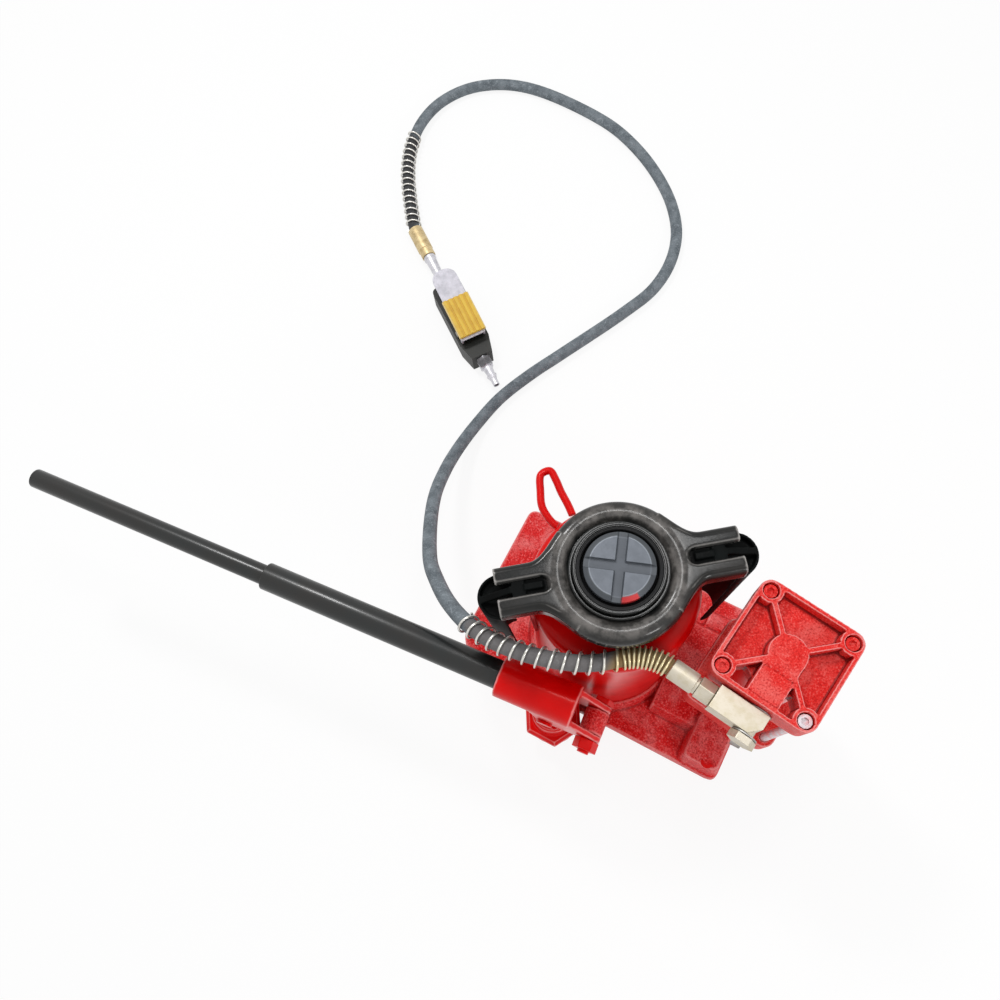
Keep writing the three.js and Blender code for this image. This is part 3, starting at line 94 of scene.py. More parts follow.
class Nodes:  # a node tree, built by hand
    def __init__(self, tree):
        self.tree = tree

    def node(self, kind, settings, inputs, output=0):
        made = self.tree.nodes.new(kind)
        for key, value in settings.items():
            setattr(made, key, value)
        for key, value in inputs.items():
            if isinstance(value, Amount):
                self.tree.links.new(value.socket, made.inputs[key])
            else:
                made.inputs[key].default_value = value
        return Amount(self, made.outputs[output])

    def shown(self):
        # 1 for what the camera sees, also by reflection or through glass, and 0 for what only lights the object
        seen = self.node("ShaderNodeLightPath", {}, {}, "Is Camera Ray")
        for kind in ("Is Glossy Ray", "Is Transmission Ray"):
            seen = seen.largest(self.node("ShaderNodeLightPath", {}, {}, kind))
        return seen


class Finish(Nodes):  # a material
    def __init__(self, name, **constants):
        self.material = bpy.data.materials.new(name)
        self.material.use_nodes = True
        super().__init__(self.material.node_tree)
        self.shader = self.tree.nodes["Principled BSDF"]
        for socket, value in constants.items():
            self.shader.inputs[socket.replace("_", " ")].default_value = value
        self.place = self.node("ShaderNodeTexCoord", {}, {}, "Object")

    def noise(self, size, detail=4, roughness=0.5, distortion=0, place=None):
        # size is about the width of one blotch, in millimetres
        values = {"Vector": place or self.place, "Scale": 1 / (size * mm), "Detail": detail,
                  "Roughness": roughness, "Distortion": distortion}
        return self.node("ShaderNodeTexNoise", {}, values)

    def stretched(self, x, y, z):
        return self.node("ShaderNodeVectorMath", {"operation": "MULTIPLY"}, {0: self.place, 1: (x, y, z)})

    def mix(self, share, first, second):
        values = {"Factor": share, 6: first, 7: second}
        return self.node("ShaderNodeMix", {"data_type": "RGBA"}, values, 2)

    def axis(self, letter):
        return self.node("ShaderNodeSeparateXYZ", {}, {0: self.place}, letter)

    def curvature(self, low, high):
        # 0 on flat ground, and up to 1 on sharp edges, or in sharp corners when high is below a half
        return self.node("ShaderNodeNewGeometry", {}, {}, "Pointiness").between(low, high)

    def feed(self, socket, value):
        self.tree.links.new(value.socket, self.shader.inputs[socket])

    def bump(self, height, depth):
        # depth is the height of the relief in millimetres
        values = {"Height": height, "Distance": depth * mm, "Strength": 1.0}
        self.feed("Normal", self.node("ShaderNodeBump", {}, values))


def colour(red, green, blue):  # from a screen colour, 0 to 255, to the linear colour that a shader takes
    def linear(value):
        share = value / 255
        return share / 12.92 if share <= 0.04045 else ((share + 0.055) / 1.055) ** 2.4
    return (linear(red), linear(green), linear(blue), 1)


# Meshes

def rounded(points, radius, loop=True, steps=4):
    # Every corner of a flat outline or profile gets a small arc, no wider than its sides allow.
    result = []
    count = len(points)
    for i, point in enumerate(points):
        corner = Vector(point[:2])
        own = point[2] if len(point) > 2 else radius
        if own <= 0 or (not loop and i in (0, count - 1)):
            result.append(tuple(corner))
            continue
        back = Vector(points[i - 1][:2]) - corner
        ahead = Vector(points[(i + 1) % count][:2]) - corner
        if back.length < 1e-6 or ahead.length < 1e-6:
            result.append(tuple(corner))
            continue
        half = back.angle(ahead) / 2
        if half > math.radians(88):
            result.append(tuple(corner))
            continue
        run = min(own / math.tan(half), 0.45 * back.length, 0.45 * ahead.length)
        start = corner + back.normalized() * run
        end = corner + ahead.normalized() * run
        for k in range(steps + 1):
            share = k / steps
            mid = start * (1 - share) ** 2 + corner * 2 * share * (1 - share) + end * share ** 2
            result.append(tuple(mid))
    return result


def addMesh(bm, points, faces, matrix=noTurn):
    made = [bm.verts.new(matrix @ Vector(point)) for point in points]
    for face in faces:
        bm.faces.new([made[i] for i in face])


def addTurned(bm, profile, steps=96, matrix=noTurn):
    # A profile of (radius, height) turned round the Z axis; off the axis it closes on itself.
    onAxis = profile[0][0] == 0 and profile[-1][0] == 0
    points, faces = [], []
    rings = []
    for radius, height in profile:
        first = len(points)
        if radius == 0:
            points.append((0, 0, height))
            rings.append([first] * steps)
            continue
        for k in range(steps):
            angle = 2 * math.pi * k / steps
            points.append((radius * math.cos(angle), radius * math.sin(angle), height))
        rings.append(list(range(first, first + steps)))
    pairs = list(zip(rings, rings[1:])) + ([] if onAxis else [(rings[-1], rings[0])])
    for lower, upper in pairs:
        for k in range(steps):
            n = (k + 1) % steps
            corners = [lower[k], lower[n], upper[n], upper[k]]
            face = [c for j, c in enumerate(corners) if c != corners[j - 1]]
            if len(face) > 2:
                faces.append(face)
    addMesh(bm, points, faces, matrix)


def addPrism(bm, outline, low, high, holes=(), matrix=noTurn, shrink=0):
    # An outline, with any holes, raised from low to high; shrink draws its top in towards its middle.
    loops = [outline, *holes]
    flat = [Vector((x, y, 0)) for loop in loops for x, y in loop]
    centre = sum((Vector((x, y)) for x, y in outline), Vector((0, 0))) / len(outline)
    reach = max((Vector(p) - centre).length for p in outline)
    share = 1 - shrink / reach
    count = len(flat)
    points = [(p.x, p.y, low) for p in flat]
    points += [(centre.x + (p.x - centre.x) * share, centre.y + (p.y - centre.y) * share, high) for p in flat]
    faces = []
    for a, b, c in tessellate_polygon([[Vector((x, y, 0)) for x, y in loop] for loop in loops]):
        faces.append((a, b, c))
        faces.append((c + count, b + count, a + count))
    first = 0
    for loop in loops:
        for k in range(len(loop)):
            a, b = first + k, first + (k + 1) % len(loop)
            faces.append((a, b, b + count, a + count))
        first += len(loop)
    addMesh(bm, points, faces, matrix)


def addBox(bm, x0, x1, y0, y1, z0, z1, matrix=noTurn):
    addPrism(bm, [(x0, y0), (x1, y0), (x1, y1), (x0, y1)], z0, z1, matrix=matrix)


def circle(radius, x=0, y=0, steps=48, start=0, sweep=360):
    whole = sweep == 360
    count = steps if whole else steps + 1
    angles = [math.radians(start + sweep * k / steps) for k in range(count)]
    return [(x + radius * math.cos(a), y + radius * math.sin(a)) for a in angles]


def hexagon(flats):
    return circle(flats / 2 / math.cos(math.pi / 6), steps=6)


def hull(circles):
    # The outline of a band drawn tight round circles of (x, y, radius).
    points = sorted(p for x, y, radius in circles for p in circle(radius, x, y))

    def half(row):
        chain = []
        for p in row:
            while len(chain) > 1:
                (ax, ay), (bx, by) = chain[-2], chain[-1]
                if (bx - ax) * (p[1] - ay) - (by - ay) * (p[0] - ax) > 1e-9:
                    break
                chain.pop()
            chain.append(p)
        return chain[:-1]
    return half(points) + half(points[::-1])


def linked(name, bm, body, material, replaces):
    bmesh.ops.remove_doubles(bm, verts=bm.verts, dist=0.0005)
    bmesh.ops.recalc_face_normals(bm, faces=bm.faces)
    bmesh.ops.scale(bm, vec=(mm, mm, mm), verts=bm.verts)
    mesh = bpy.data.meshes.new(name)
    bm.to_mesh(mesh)
    bm.free()
    return settled(name, mesh, body, material, replaces)


def settled(name, mesh, body, material, replaces):
    piece = bpy.data.objects.new(name, mesh)
    bpy.context.scene.collection.objects.link(piece)
    mesh.materials.clear()
    mesh.materials.append(material.material)
    mesh.polygons.foreach_set("use_smooth", [True] * len(mesh.polygons))
    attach(piece, body)
    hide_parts(*replaces)
    return piece


def applied(piece):
    # The piece takes the shape that its modifiers give it.
    bpy.context.view_layer.update()
    whole = piece.evaluated_get(bpy.context.evaluated_depsgraph_get())
    mesh = bpy.data.meshes.new_from_object(whole)
    old = piece.data
    piece.modifiers.clear()
    piece.data = mesh
    bpy.data.meshes.remove(old)
    mesh.polygons.foreach_set("use_smooth", [True] * len(mesh.polygons))
    return piece


def fused(piece, voxel, passes):
    # Overlapping shapes become one skin, and its corners soften as a casting's or pressing's do.
    remesh = piece.modifiers.new("fuse", "REMESH")
    remesh.mode = "VOXEL"
    remesh.voxel_size = voxel * mm
    soften = piece.modifiers.new("soften", "SMOOTH")
    soften.factor = 0.5
    soften.iterations = passes
    return applied(piece)


def eased(piece, width, angle=35, segments=3):
    # Sharp edges get a small round, and the flats keep their shading.
    weld = piece.modifiers.new("weld", "WELD")
    weld.merge_threshold = 0.00002
    flats = piece.modifiers.new("flats", "DECIMATE")
    flats.decimate_type = "DISSOLVE"
    flats.angle_limit = math.radians(0.6)
    bevel = piece.modifiers.new("bevel", "BEVEL")
    bevel.width = width * mm
    bevel.segments = segments
    bevel.limit_method = "ANGLE"
    bevel.angle_limit = math.radians(angle)
    bevel.harden_normals = False
    weights = piece.modifiers.new("weights", "WEIGHTED_NORMAL")
    weights.keep_sharp = False
    return piece


def dressed(name, material, width=0.5):
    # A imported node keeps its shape, and gets its finish and eased edges.
    piece = nodes[name]
    piece.data.materials.clear()
    piece.data.materials.append(material.material)
    piece.data.polygons.foreach_set("use_smooth", [True] * len(piece.data.polygons))
    return eased(piece, width)


def cutBy(piece, cutters):
    # cutters is a mesh of closed shapes, in millimetres, taken out of the piece.
    bmesh.ops.recalc_face_normals(cutters, faces=cutters.faces)
    bmesh.ops.scale(cutters, vec=(mm, mm, mm), verts=cutters.verts)
    mesh = bpy.data.meshes.new(piece.name + "Cut")
    cutters.to_mesh(mesh)
    cutters.free()
    tool = bpy.data.objects.new(piece.name + "Cut", mesh)
    bpy.context.scene.collection.objects.link(tool)
    boolean = piece.modifiers.new("cut", "BOOLEAN")
    boolean.operation = "DIFFERENCE"
    boolean.solver = "EXACT"
    boolean.object = tool
    applied(piece)
    bpy.data.objects.remove(tool)
    bpy.data.meshes.remove(mesh)
    return piece


alongX = Matrix.Rotation(math.radians(90), 4, "Y")
upright = Matrix.Rotation(math.radians(90), 4, "X")


def placed(x, y, z, turn=0.0):
    return Matrix.Translation((x, y, z)) @ Matrix.Rotation(math.radians(turn), 4, "Z")


pumpMiddle = (-9, -93.2, 0)
yokeTurn = 37.5
pumpPlace = placed(*pumpMiddle, 4.73)
motorPlace = placed(131, 3, 0, -8.3)
valvePlace = placed(-401, 326, 15, -36.9)
yokePlace = placed(0, 0, 0, yokeTurn)


# Camera

cameraSetup = {
    "place": (39.3, -166.3, 880.0),
    "right": (0.8809, 0.4685, -0.0677),
    "down": (0.4230, -0.8432, -0.3320),
    "lens": 32.04,
}


def makeCamera(setup):
    camera = bpy.data.cameras.new("photoCamera")
    camera.lens = setup["lens"]
    holder = bpy.data.objects.new("photoCamera", camera)
    right = Vector(setup["right"]).normalized()
    up = -Vector(setup["down"])
    up = (up - right * up.dot(right)).normalized()
    turn = Matrix((right, up, right.cross(up))).transposed().to_4x4()
    holder.matrix_world = Matrix.Translation(Vector(setup["place"]) * mm) @ turn
    bpy.context.scene.collection.objects.link(holder)
    bpy.context.scene.camera = holder


makeCamera(cameraSetup)
print("camera placed")


# Finishes

# The pale cast tone is partly painted sheen, the cast edge tone is a painted highlight and the cast corner tone is
# painted shade.
finishTones = {
    "castRed": (220, 22, 26), "castPaleGrainAndSheen": (241, 143, 142), "castDeep": (140, 4, 10), "castEdgeHighlight": (244, 160, 158),
    "castCornerShade": (110, 2, 6),
    "headRed": (226, 42, 38), "headPale": (238, 122, 116), "headDeep": (158, 8, 12),
    "glossRed": (228, 6, 6), "glossDeep": (206, 2, 4), "redTint": (255, 150, 144),
    # Among the blacks, the pale edge tone and the paler band tone are painted highlights.
    "black": (18, 21, 21), "blackWarm": (34, 32, 30), "blackDeep": (8, 8, 8), "blackEdgeHighlight": (176, 172, 168),
    "blackSheenBand": (152, 147, 143), "blackTube": (30, 33, 33),
    # Among the saddle tones, the pale one is a painted highlight, and the rim and groove tones are painted shade.
    "saddle": (104, 109, 117), "saddleDark": (78, 83, 90), "saddleEdgeGlint": (156, 162, 170),
    "saddleBevelShade": (66, 70, 70), "groove": (70, 74, 80), "smear": (196, 40, 42),
    "steel": (170, 168, 164), "steelDark": (120, 118, 114),
    "chrome": (215, 217, 220),
    "zinc": (206, 198, 182), "zincWarm": (188, 177, 146),
    "tan": (214, 194, 150), "tanDark": (150, 122, 74),
    "spring": (222, 220, 214), "springDark": (150, 144, 132), "springWarm": (220, 206, 166),
    "rubber": (30, 30, 31), "plugRed": (170, 20, 22),
    "hose": (118, 126, 132), "hosePale": (152, 160, 166), "hoseDark": (84, 92, 98),
    "hoseUnderSpring": (112, 106, 104), "hoseShade": (40, 36, 35),
    "olive": (20, 21, 17), "oliveWarm": (34, 34, 28),
    "yellow": (220, 182, 62), "yellowDark": (190, 142, 40), "cream": (226, 210, 156),
    "leverGrey": (196, 194, 202), "silver": (214, 213, 218), "silverDark": (168, 168, 174),
}
tones = {name: colour(*rgb) for name, rgb in finishTones.items()}


def castFinish(name, middle, pale, deep, grain, depth, roughness, coat=0.04, edges=0.0):
    # Paint over a sand casting: fine grain, soft blotches and small pits; the pale tone is partly painted sheen.
    # A painted highlight on edges and painted shade in corners, on pieces whose mesh is fine enough to tell them.
    f = Finish(name, Coat_Roughness=0.25, Specular_IOR_Level=0.28, Specular_Tint=tones["redTint"])
    blotch = f.noise(18, 3)
    fine = f.noise(grain, 5, 0.6)
    pits = f.noise(grain * 3.2, 2, 0.4, 0.4).between(0.62, 0.72)
    # The pale tone in the blotches and flecks is partly painted sheen of the rough paint.
    base = f.mix(blotch.between(0.4, 0.75) * 0.5, tones[middle], tones[pale])
    base = f.mix(fine.between(0.52, 0.66) * 0.62, base, tones[pale])
    base = f.mix(fine.between(0.49, 0.36) * 0.6 + pits * 0.12, base, tones[deep])
    if edges:
        # Painted shade in concave corners, and a painted highlight along convex edges.
        base = f.mix(f.curvature(0.493, 0.472) * edges, base, tones["castCornerShade"])
        base = f.mix(f.curvature(0.512, 0.54) * (edges * 0.75 + fine * 0.25), base, tones["castEdgeHighlight"])
    f.feed("Base Color", base)
    f.feed("Roughness", roughness + fine * 0.22)
    f.feed("Coat Weight", coat + blotch * 0.12)
    f.bump(fine * 0.7 + blotch * 0.5 - pits * 0.35, depth)
    return f


def glossFinish(name, middle, deep, roughness=0.3, coat=0.15, ripple=0.03, specular=0.3, edges=None, sheenBand=None,
                tint=(1, 1, 1, 1)):
    # Sprayed paint with a slight ripple, a painted highlight on the edges of a finely meshed piece, and a painted
    # highlight in a patchy band round the axis.
    f = Finish(name, Coat_Roughness=0.1, Specular_IOR_Level=specular, Specular_Tint=tint)
    blotch = f.noise(30, 2)
    ripples = f.noise(2.6, 2)
    specks = f.noise(0.7, 2).between(0.66, 0.76)
    base = f.mix(blotch.between(0.3, 0.75), tones[middle], tones[deep])
    if edges:
        # Painted highlight along convex edges.
        base = f.mix(f.curvature(0.506, 0.535) * (0.45 + ripples * 0.5), base, tones[edges])
    if sheenBand:
        # A paler band round the axis, broken into patches and specks, is a painted highlight.
        x, y = f.axis("X"), f.axis("Y")
        away = (x * x + y * y) ** 0.5 + (blotch - 0.5) * sheenBand["waver"]
        band = away.between(*sheenBand["inner"]) * away.between(*sheenBand["outer"])
        patches = f.noise(sheenBand["patch"], 4, 0.6).between(0.35, 0.68)
        base = f.mix(band * (0.12 + patches * 0.4 + specks * 0.2), base, tones[sheenBand["tone"]])
    f.feed("Base Color", base)
    f.feed("Roughness", roughness + blotch * 0.08 + specks * 0.12)
    f.feed("Coat Weight", coat - specks * coat * 0.5)
    f.bump(ripples + specks * 0.5, ripple)
    return f


def metalFinish(name, middle, dark, roughness, along, grain=0.5, metallic=1.0, depth=0.02, patchy=0.6,
                shadedEnd=None):
    # Machined or drawn metal: fine lines one way, duller patches, and black painted shade above a height if it has
    # one.
    f = Finish(name, Metallic=metallic)
    lines = f.noise(grain, 3, 0.6, 0, f.stretched(*along))
    patch = f.noise(9, 3, 0.6)
    base = f.mix(patch.between(0.42, 0.72) * patchy, tones[middle], tones[dark])
    base = f.mix(lines.between(0.5, 0.75) * 0.4, base, tones[dark])
    rough = roughness + patch * 0.18 + lines * 0.1
    # Above the height the metal is painted black and rough, as painted shade.
    if shadedEnd:
        end = f.axis("Z").between(*shadedEnd)
        base = f.mix(end, base, tones["rubber"])
        rough = rough + end * 0.5
    f.feed("Base Color", base)
    f.feed("Roughness", rough)
    f.bump(lines, depth)
    return f


def softFinish(name, middle, pale, roughness, grain, depth):
    # Rubber or moulded plastic with a fine grain.
    f = Finish(name, Specular_IOR_Level=0.4)
    fine = f.noise(grain, 4, 0.6)
    blotch = f.noise(14, 3)
    base = f.mix(blotch.between(0.4, 0.75) * 0.5, tones[middle], tones[pale])
    f.feed("Base Color", f.mix(fine.between(0.58, 0.74) * 0.5, base, tones[pale]))
    f.feed("Roughness", roughness + fine * 0.15)
    f.bump(fine, depth)
    return f


def hoseFinish(setup):
    # Worn rubber cover: pale flecks and scuffs over a faint woven relief; a warmer grey above a height by the motor
    # spring, tan under its close-wound coils, and painted shade under the valve spring.
    f = Finish("hoseRubber", Specular_IOR_Level=0.3)
    flecks = f.noise(1.1, 5, 0.65)
    blotch = f.noise(11, 4, 0.6)
    scuffs = f.noise(5, 3, 0.5, 1.2).between(0.58, 0.7)
    base = f.mix(blotch.between(0.3, 0.7), tones["hose"], tones["hoseDark"])
    base = f.mix(flecks.between(0.5, 0.7) * 0.75, base, tones["hosePale"])
    base = f.mix(scuffs * 0.5, base, tones["hosePale"])
    atMotor = f.axis("Z").between(*setup["motorShade"])
    atValve = f.axis("Y").between(*setup["valveShadeY"]) * f.axis("X").between(*setup["valveShadeX"])
    # Above a height, by the motor spring, the hose turns a warmer grey.
    base = f.mix(atMotor * 0.75, base, tones["hoseUnderSpring"])
    # Painted shade on the hose under the valve spring.
    base = f.mix(atValve * 0.85, base, tones["hoseShade"])
    atCoils = atMotor * f.axis("X").between(*setup["closeWound"])
    f.feed("Base Color", f.mix(atCoils * 0.8, base, tones["tanDark"]))
    f.feed("Roughness", 0.62 + flecks * 0.2 - scuffs * 0.12)
    f.bump(flecks + blotch * 0.4, 0.12)
    return f


def springFinish(setup):
    # Bright wire, yellowish where the coils lie close together.
    f = Finish("springWire", Metallic=0.8)
    patch = f.noise(3, 3, 0.6)
    base = f.mix(patch.between(0.45, 0.75) * 0.6, tones["spring"], tones["springDark"])
    f.feed("Base Color", f.mix(f.axis("X").between(*setup["closeWound"]), base, tones["springWarm"]))
    f.feed("Roughness", 0.24 + patch * 0.15)
    return f


def padFinish(setup):
    # Yellow moulding with darker lines between its ribs and a paler border.
    f = Finish("yellowCover", Specular_IOR_Level=0.4)
    across = f.node("ShaderNodeVectorMath", {"operation": "DOT_PRODUCT"},
                    {0: f.place, 1: setup["across"]}, "Value") - setup["middle"]
    fine = f.noise(0.9, 4, 0.6)
    blotch = f.noise(9, 3)
    ahead = across + setup["pitch"] * setup["pitches"]
    wave = across.work("PINGPONG", ahead, setup["pitch"] / 2)
    border = across.work("ABSOLUTE", across).between(*setup["border"])
    base = f.mix(blotch.between(0.4, 0.75) * 0.4, tones["yellow"], tones["yellowDark"])
    base = f.mix(wave.between(*setup["line"]) * 0.6, base, tones["yellowDark"])
    f.feed("Base Color", f.mix(border * 0.6, base, tones["cream"]))
    f.feed("Roughness", 0.42 + fine * 0.15)
    f.bump(fine, 0.04)
    return f


def saddleFinish(setup):
    # Grey phosphate with a wiped mark of red paint along the rim; painted shade in the grooves and on the bevel,
    # and a thin painted highlight ring where the bevel meets the top.
    f = Finish("saddlePhosphate", Metallic=0.3, Specular_IOR_Level=0.4)
    fine = f.noise(0.8, 4, 0.6)
    blotch = f.noise(7, 3)
    x, y = f.axis("X"), f.axis("Y")
    away = (x * x + y * y) ** 0.5
    toward = (x * setup["smearToward"][0] + y * setup["smearToward"][1]) / away
    base = f.mix(blotch.between(0.35, 0.7) * 0.35, tones["saddle"], tones["saddleDark"])
    rim = away.between(*setup["glintInner"]) * away.between(*setup["glintOuter"])
    # Painted shade on the outer bevel, and a painted highlight in a thin ring at its inner edge.
    base = f.mix(away.between(*setup["bevel"]) * 0.7, base, tones["saddleBevelShade"])
    base = f.mix(rim * 0.5, base, tones["saddleEdgeGlint"])
    # Painted shade below the top face, in the grooves.
    base = f.mix(f.axis("Z").between(*setup["groove"]) * 0.7, base, tones["groove"])
    smear = (away + fine * setup["ragged"]).between(*setup["smearInner"])
    smear = smear * (toward + fine * setup["raggedEnds"]).between(*setup["smearSpread"])
    f.feed("Base Color", f.mix(smear * 0.85, base, tones["smear"]))
    f.feed("Roughness", 0.4 + fine * 0.2)
    f.bump(fine + blotch * 0.4, 0.05)
    return f


springMarks = {"closeWound": (0.018, 0.027)}
hoseMarks = {
    "motorShade": (0.203, 0.208), "valveShadeY": (0.447, 0.44), "valveShadeX": (-0.398, -0.404), **springMarks,
}
padMarks = {
    "across": (0.6004, 0.7997, 0.0), "middle": 0.019942, "pitch": 0.0062, "pitches": 20,
    "line": (0.0021, 0.0029), "border": (0.0138, 0.0146),
}
# Where the painted highlight band lies on the yoke ring.
yokeSheenBand = {"inner": (0.036, 0.04), "outer": (0.055, 0.0445), "waver": 0.008, "patch": 9, "tone": "blackSheenBand"}
saddleMark = {
    "smearToward": (0.68, -0.733), "smearInner": (0.0222, 0.0236), "smearSpread": (0.974, 0.99),
    "glintInner": (0.0214, 0.0218), "glintOuter": (0.0226, 0.0222), "bevel": (0.0222, 0.0228),
    "groove": (0.2671, 0.2664), "ragged": 0.0008, "raggedEnds": 0.03,
}

castLook = {"middle": "castRed", "pale": "castPaleGrainAndSheen", "deep": "castDeep", "grain": 1.5, "depth": 0.35}
headLook = {"middle": "headRed", "pale": "headPale", "deep": "headDeep", "grain": 1.3, "coat": 0.02}
redLook = {"middle": "glossRed", "deep": "glossDeep", "roughness": 0.26, "tint": tones["redTint"]}
castRed = castFinish("castRedPaint", roughness=0.4, **castLook)
baseRed = castFinish("baseRedPaint", roughness=0.4, edges=0.55, **castLook)
boltRed = castFinish("boltRedPaint", depth=0.1, roughness=0.4, **headLook)
headRed = castFinish("headRedPaint", depth=0.12, roughness=0.4, edges=0.85, **headLook)
glossRed = glossFinish("glossRedPaint", coat=0.08, **redLook)
# The pale edges on the forged red are a painted highlight.
forgedRed = glossFinish("forgedRedPaint", coat=0.1, ripple=0.1, edges="castEdgeHighlight", **redLook)
blackPaint = glossFinish("blackPaint", "black", "blackWarm", 0.16, 0.12, 0.03, 0.2)
yokePaint = glossFinish("yokePaint", "black", "blackWarm", 0.16, 0.1, 0.04, 0.2, "blackEdgeHighlight", yokeSheenBand)
tubePaint = glossFinish("tubePaint", "blackTube", "blackWarm", 0.26, 0.14, 0.03, 0.35)
gripPaint = glossFinish("gripPaint", "blackDeep", "black", 0.5, 0.01, 0.03, 0.04)
pinkSteel = metalFinish("paintedBolt", "silver", "headPale", 0.34, (1, 1, 0.2), 0.8, 0.4)
saddleGrey = saddleFinish(saddleMark)
steel = metalFinish("machinedSteel", "steel", "steelDark", 0.3, (1, 1, 0.1))
chrome = metalFinish("hardChrome", "chrome", "silverDark", 0.12, (1, 1, 0.05), 0.4, 1.0, 0.004, 0.12)
# The ram's top face is painted black: painted shade in the gap round the saddle.
ramChrome = metalFinish("ramChrome", "chrome", "silverDark", 0.12, (1, 1, 0.05), 0.4, 1.0, 0.004, 0.12,
                        shadedEnd=(0.2574, 0.2578))
zinc = metalFinish("zincPlate", "zinc", "zincWarm", 0.34, (0.3, 1, 1), 0.6, 0.75)
silver = metalFinish("nickelPlate", "silver", "silverDark", 0.22, (1, 0.3, 1), 0.5, 0.85)
leverSteel = metalFinish("leverPlate", "leverGrey", "silverDark", 0.5, (1, 0.3, 1), 0.5, 0.5)
tanSteel = metalFinish("yellowPassivate", "tan", "tanDark", 0.32, (0.15, 1, 1), 0.9, 0.7)
springSteel = springFinish(springMarks)
rubber = softFinish("sealRubber", "rubber", "black", 0.6, 0.6, 0.03)
plugRubber = softFinish("plugRubber", "plugRed", "glossRed", 0.45, 0.6, 0.03)
hoseRubber = hoseFinish(hoseMarks)
oliveBody = softFinish("valveCasing", "olive", "oliveWarm", 0.42, 0.8, 0.06)
yellowPlastic = padFinish(padMarks)
brass = metalFinish("bushMetal", "tan", "tanDark", 0.3, (1, 1, 0.1))
print("finishes made")


# Hose and guard springs

hoseSetup = {
    "radius": 6.5,
    "start": ((62.764, -40.100, 222.0), (61.280, -39.884, 222.0)),
    "route": (
        (52.6, -39.9, 222), (43, -41.9, 221.9), (34, -46, 221.8), (26, -52, 221.6), (17, -59.2, 221.4),
        (5, -66.3, 221.1), (-9, -72, 220.6), (-24, -76.4, 219.3), (-42, -79.8, 216.5), (-66, -80.8, 210),
        (-90, -76.5, 199), (-114, -66.6, 182.5), (-137, -51.5, 161.5), (-157, -34, 139), (-199, 30, 78),
        (-213, 68, 48), (-220, 106, 24), (-220, 144, 10), (-213, 182, 6.8), (-197, 221, 6.8), (-177, 260, 6.8),
        (-138, 337, 6.8), (-122, 377, 6.8), (-119, 416, 6.8), (-128, 454, 6.8), (-149, 488, 6.8),
        (-181, 519, 6.8), (-222, 546, 6.8), (-270, 565, 6.8), (-368, 575, 6.8),
        (-414, 565, 6.8), (-449, 542, 6.8), (-470, 508, 7.5), (-475, 470, 9.5), (-467, 430, 11.5),
        (-448, 390, 13.3),
    ),
    "end": ((-402.439, 327.081, 15.0), (-401.24, 326.18, 15.0)),
    "stepsPerSpan": 12,
}
springSetup = {
    "wire": 1.0, "clearance": 0.6, "endRoom": 2.3, "stepsPerTurn": 28,
    "denseCoils": 10, "denseLength": 36.0, "openCoils": 14, "openLength": 133.0,
    "valveCoils": 16, "valveLength": 140.0,
}


def smoothRoute(points, steps):
    # A centripetal curve through the points.
    points = [Vector(p) for p in points]
    full = [2 * points[0] - points[1], *points, 2 * points[-1] - points[-2]]
    line = []
    for i in range(1, len(full) - 2):
        p0, p1, p2, p3 = full[i - 1:i + 3]
        d0, d1, d2 = (math.sqrt((b - a).length) for a, b in ((p0, p1), (p1, p2), (p2, p3)))
        t1 = ((p1 - p0) / d0 - (p2 - p0) / (d0 + d1) + (p2 - p1) / d1) * d1
        t2 = ((p2 - p1) / d1 - (p3 - p1) / (d1 + d2) + (p3 - p2) / d2) * d1
        for k in range(steps):
            t = k / steps
            line.append(p1 + t1 * t + (3 * (p2 - p1) - 2 * t1 - t2) * t ** 2 + (2 * (p1 - p2) + t1 + t2) * t ** 3)
    line.append(points[-1])
    return line


hoseLine = smoothRoute([*hoseSetup["start"], *hoseSetup["route"], *hoseSetup["end"]], hoseSetup["stepsPerSpan"])
hoseRuns = [0.0]
for a, b in zip(hoseLine, hoseLine[1:]):
    hoseRuns.append(hoseRuns[-1] + (b - a).length)
hoseLength = hoseRuns[-1]


def hoseAt(distance):
    # The place on the hose's middle at a distance along it, and its direction there.
    distance = min(max(distance, 0), hoseLength)
    i = next(k for k in range(1, len(hoseRuns)) if hoseRuns[k] >= distance - 1e-9)
    share = (distance - hoseRuns[i - 1]) / (hoseRuns[i] - hoseRuns[i - 1])
    before = hoseLine[i] - hoseLine[i - 1]
    after = hoseLine[i + 1] - hoseLine[i] if i + 1 < len(hoseLine) else before
    return hoseLine[i - 1].lerp(hoseLine[i], share), before.lerp(after, share).normalized()


def wireCurve(name, points, radius, sides, material):
    curve = bpy.data.curves.new(name, "CURVE")
    curve.dimensions = "3D"
    curve.bevel_depth = radius * mm
    curve.bevel_resolution = sides
    curve.use_fill_caps = True
    spline = curve.splines.new("POLY")
    spline.points.add(len(points) - 1)
    for target, point in zip(spline.points, points):
        target.co = (*(point * mm), 1)
    spline.use_smooth = True
    curve.materials.append(material.material)
    piece = bpy.data.objects.new(name, curve)
    bpy.context.scene.collection.objects.link(piece)
    return piece


def guardPoints(start, distanceAt, turns, setup):
    radius = hoseSetup["radius"] + setup["clearance"] + setup["wire"]
    points = []
    count = int(turns * setup["stepsPerTurn"])
    for i in range(count + 1):
        turn = turns * i / count
        centre, along = hoseAt(start + distanceAt(turn))
        across = along.cross(Vector((0, 0, 1))).normalized()
        up = across.cross(along).normalized()
        angle = 2 * math.pi * turn
        points.append(centre + (across * math.cos(angle) + up * math.sin(angle)) * radius)
    return points


def motorGuardDistance(turn):
    dense = min(turn, springSetup["denseCoils"])
    closeWound = dense * springSetup["denseLength"] / springSetup["denseCoils"]
    return closeWound + (turn - dense) * springSetup["openLength"] / springSetup["openCoils"]


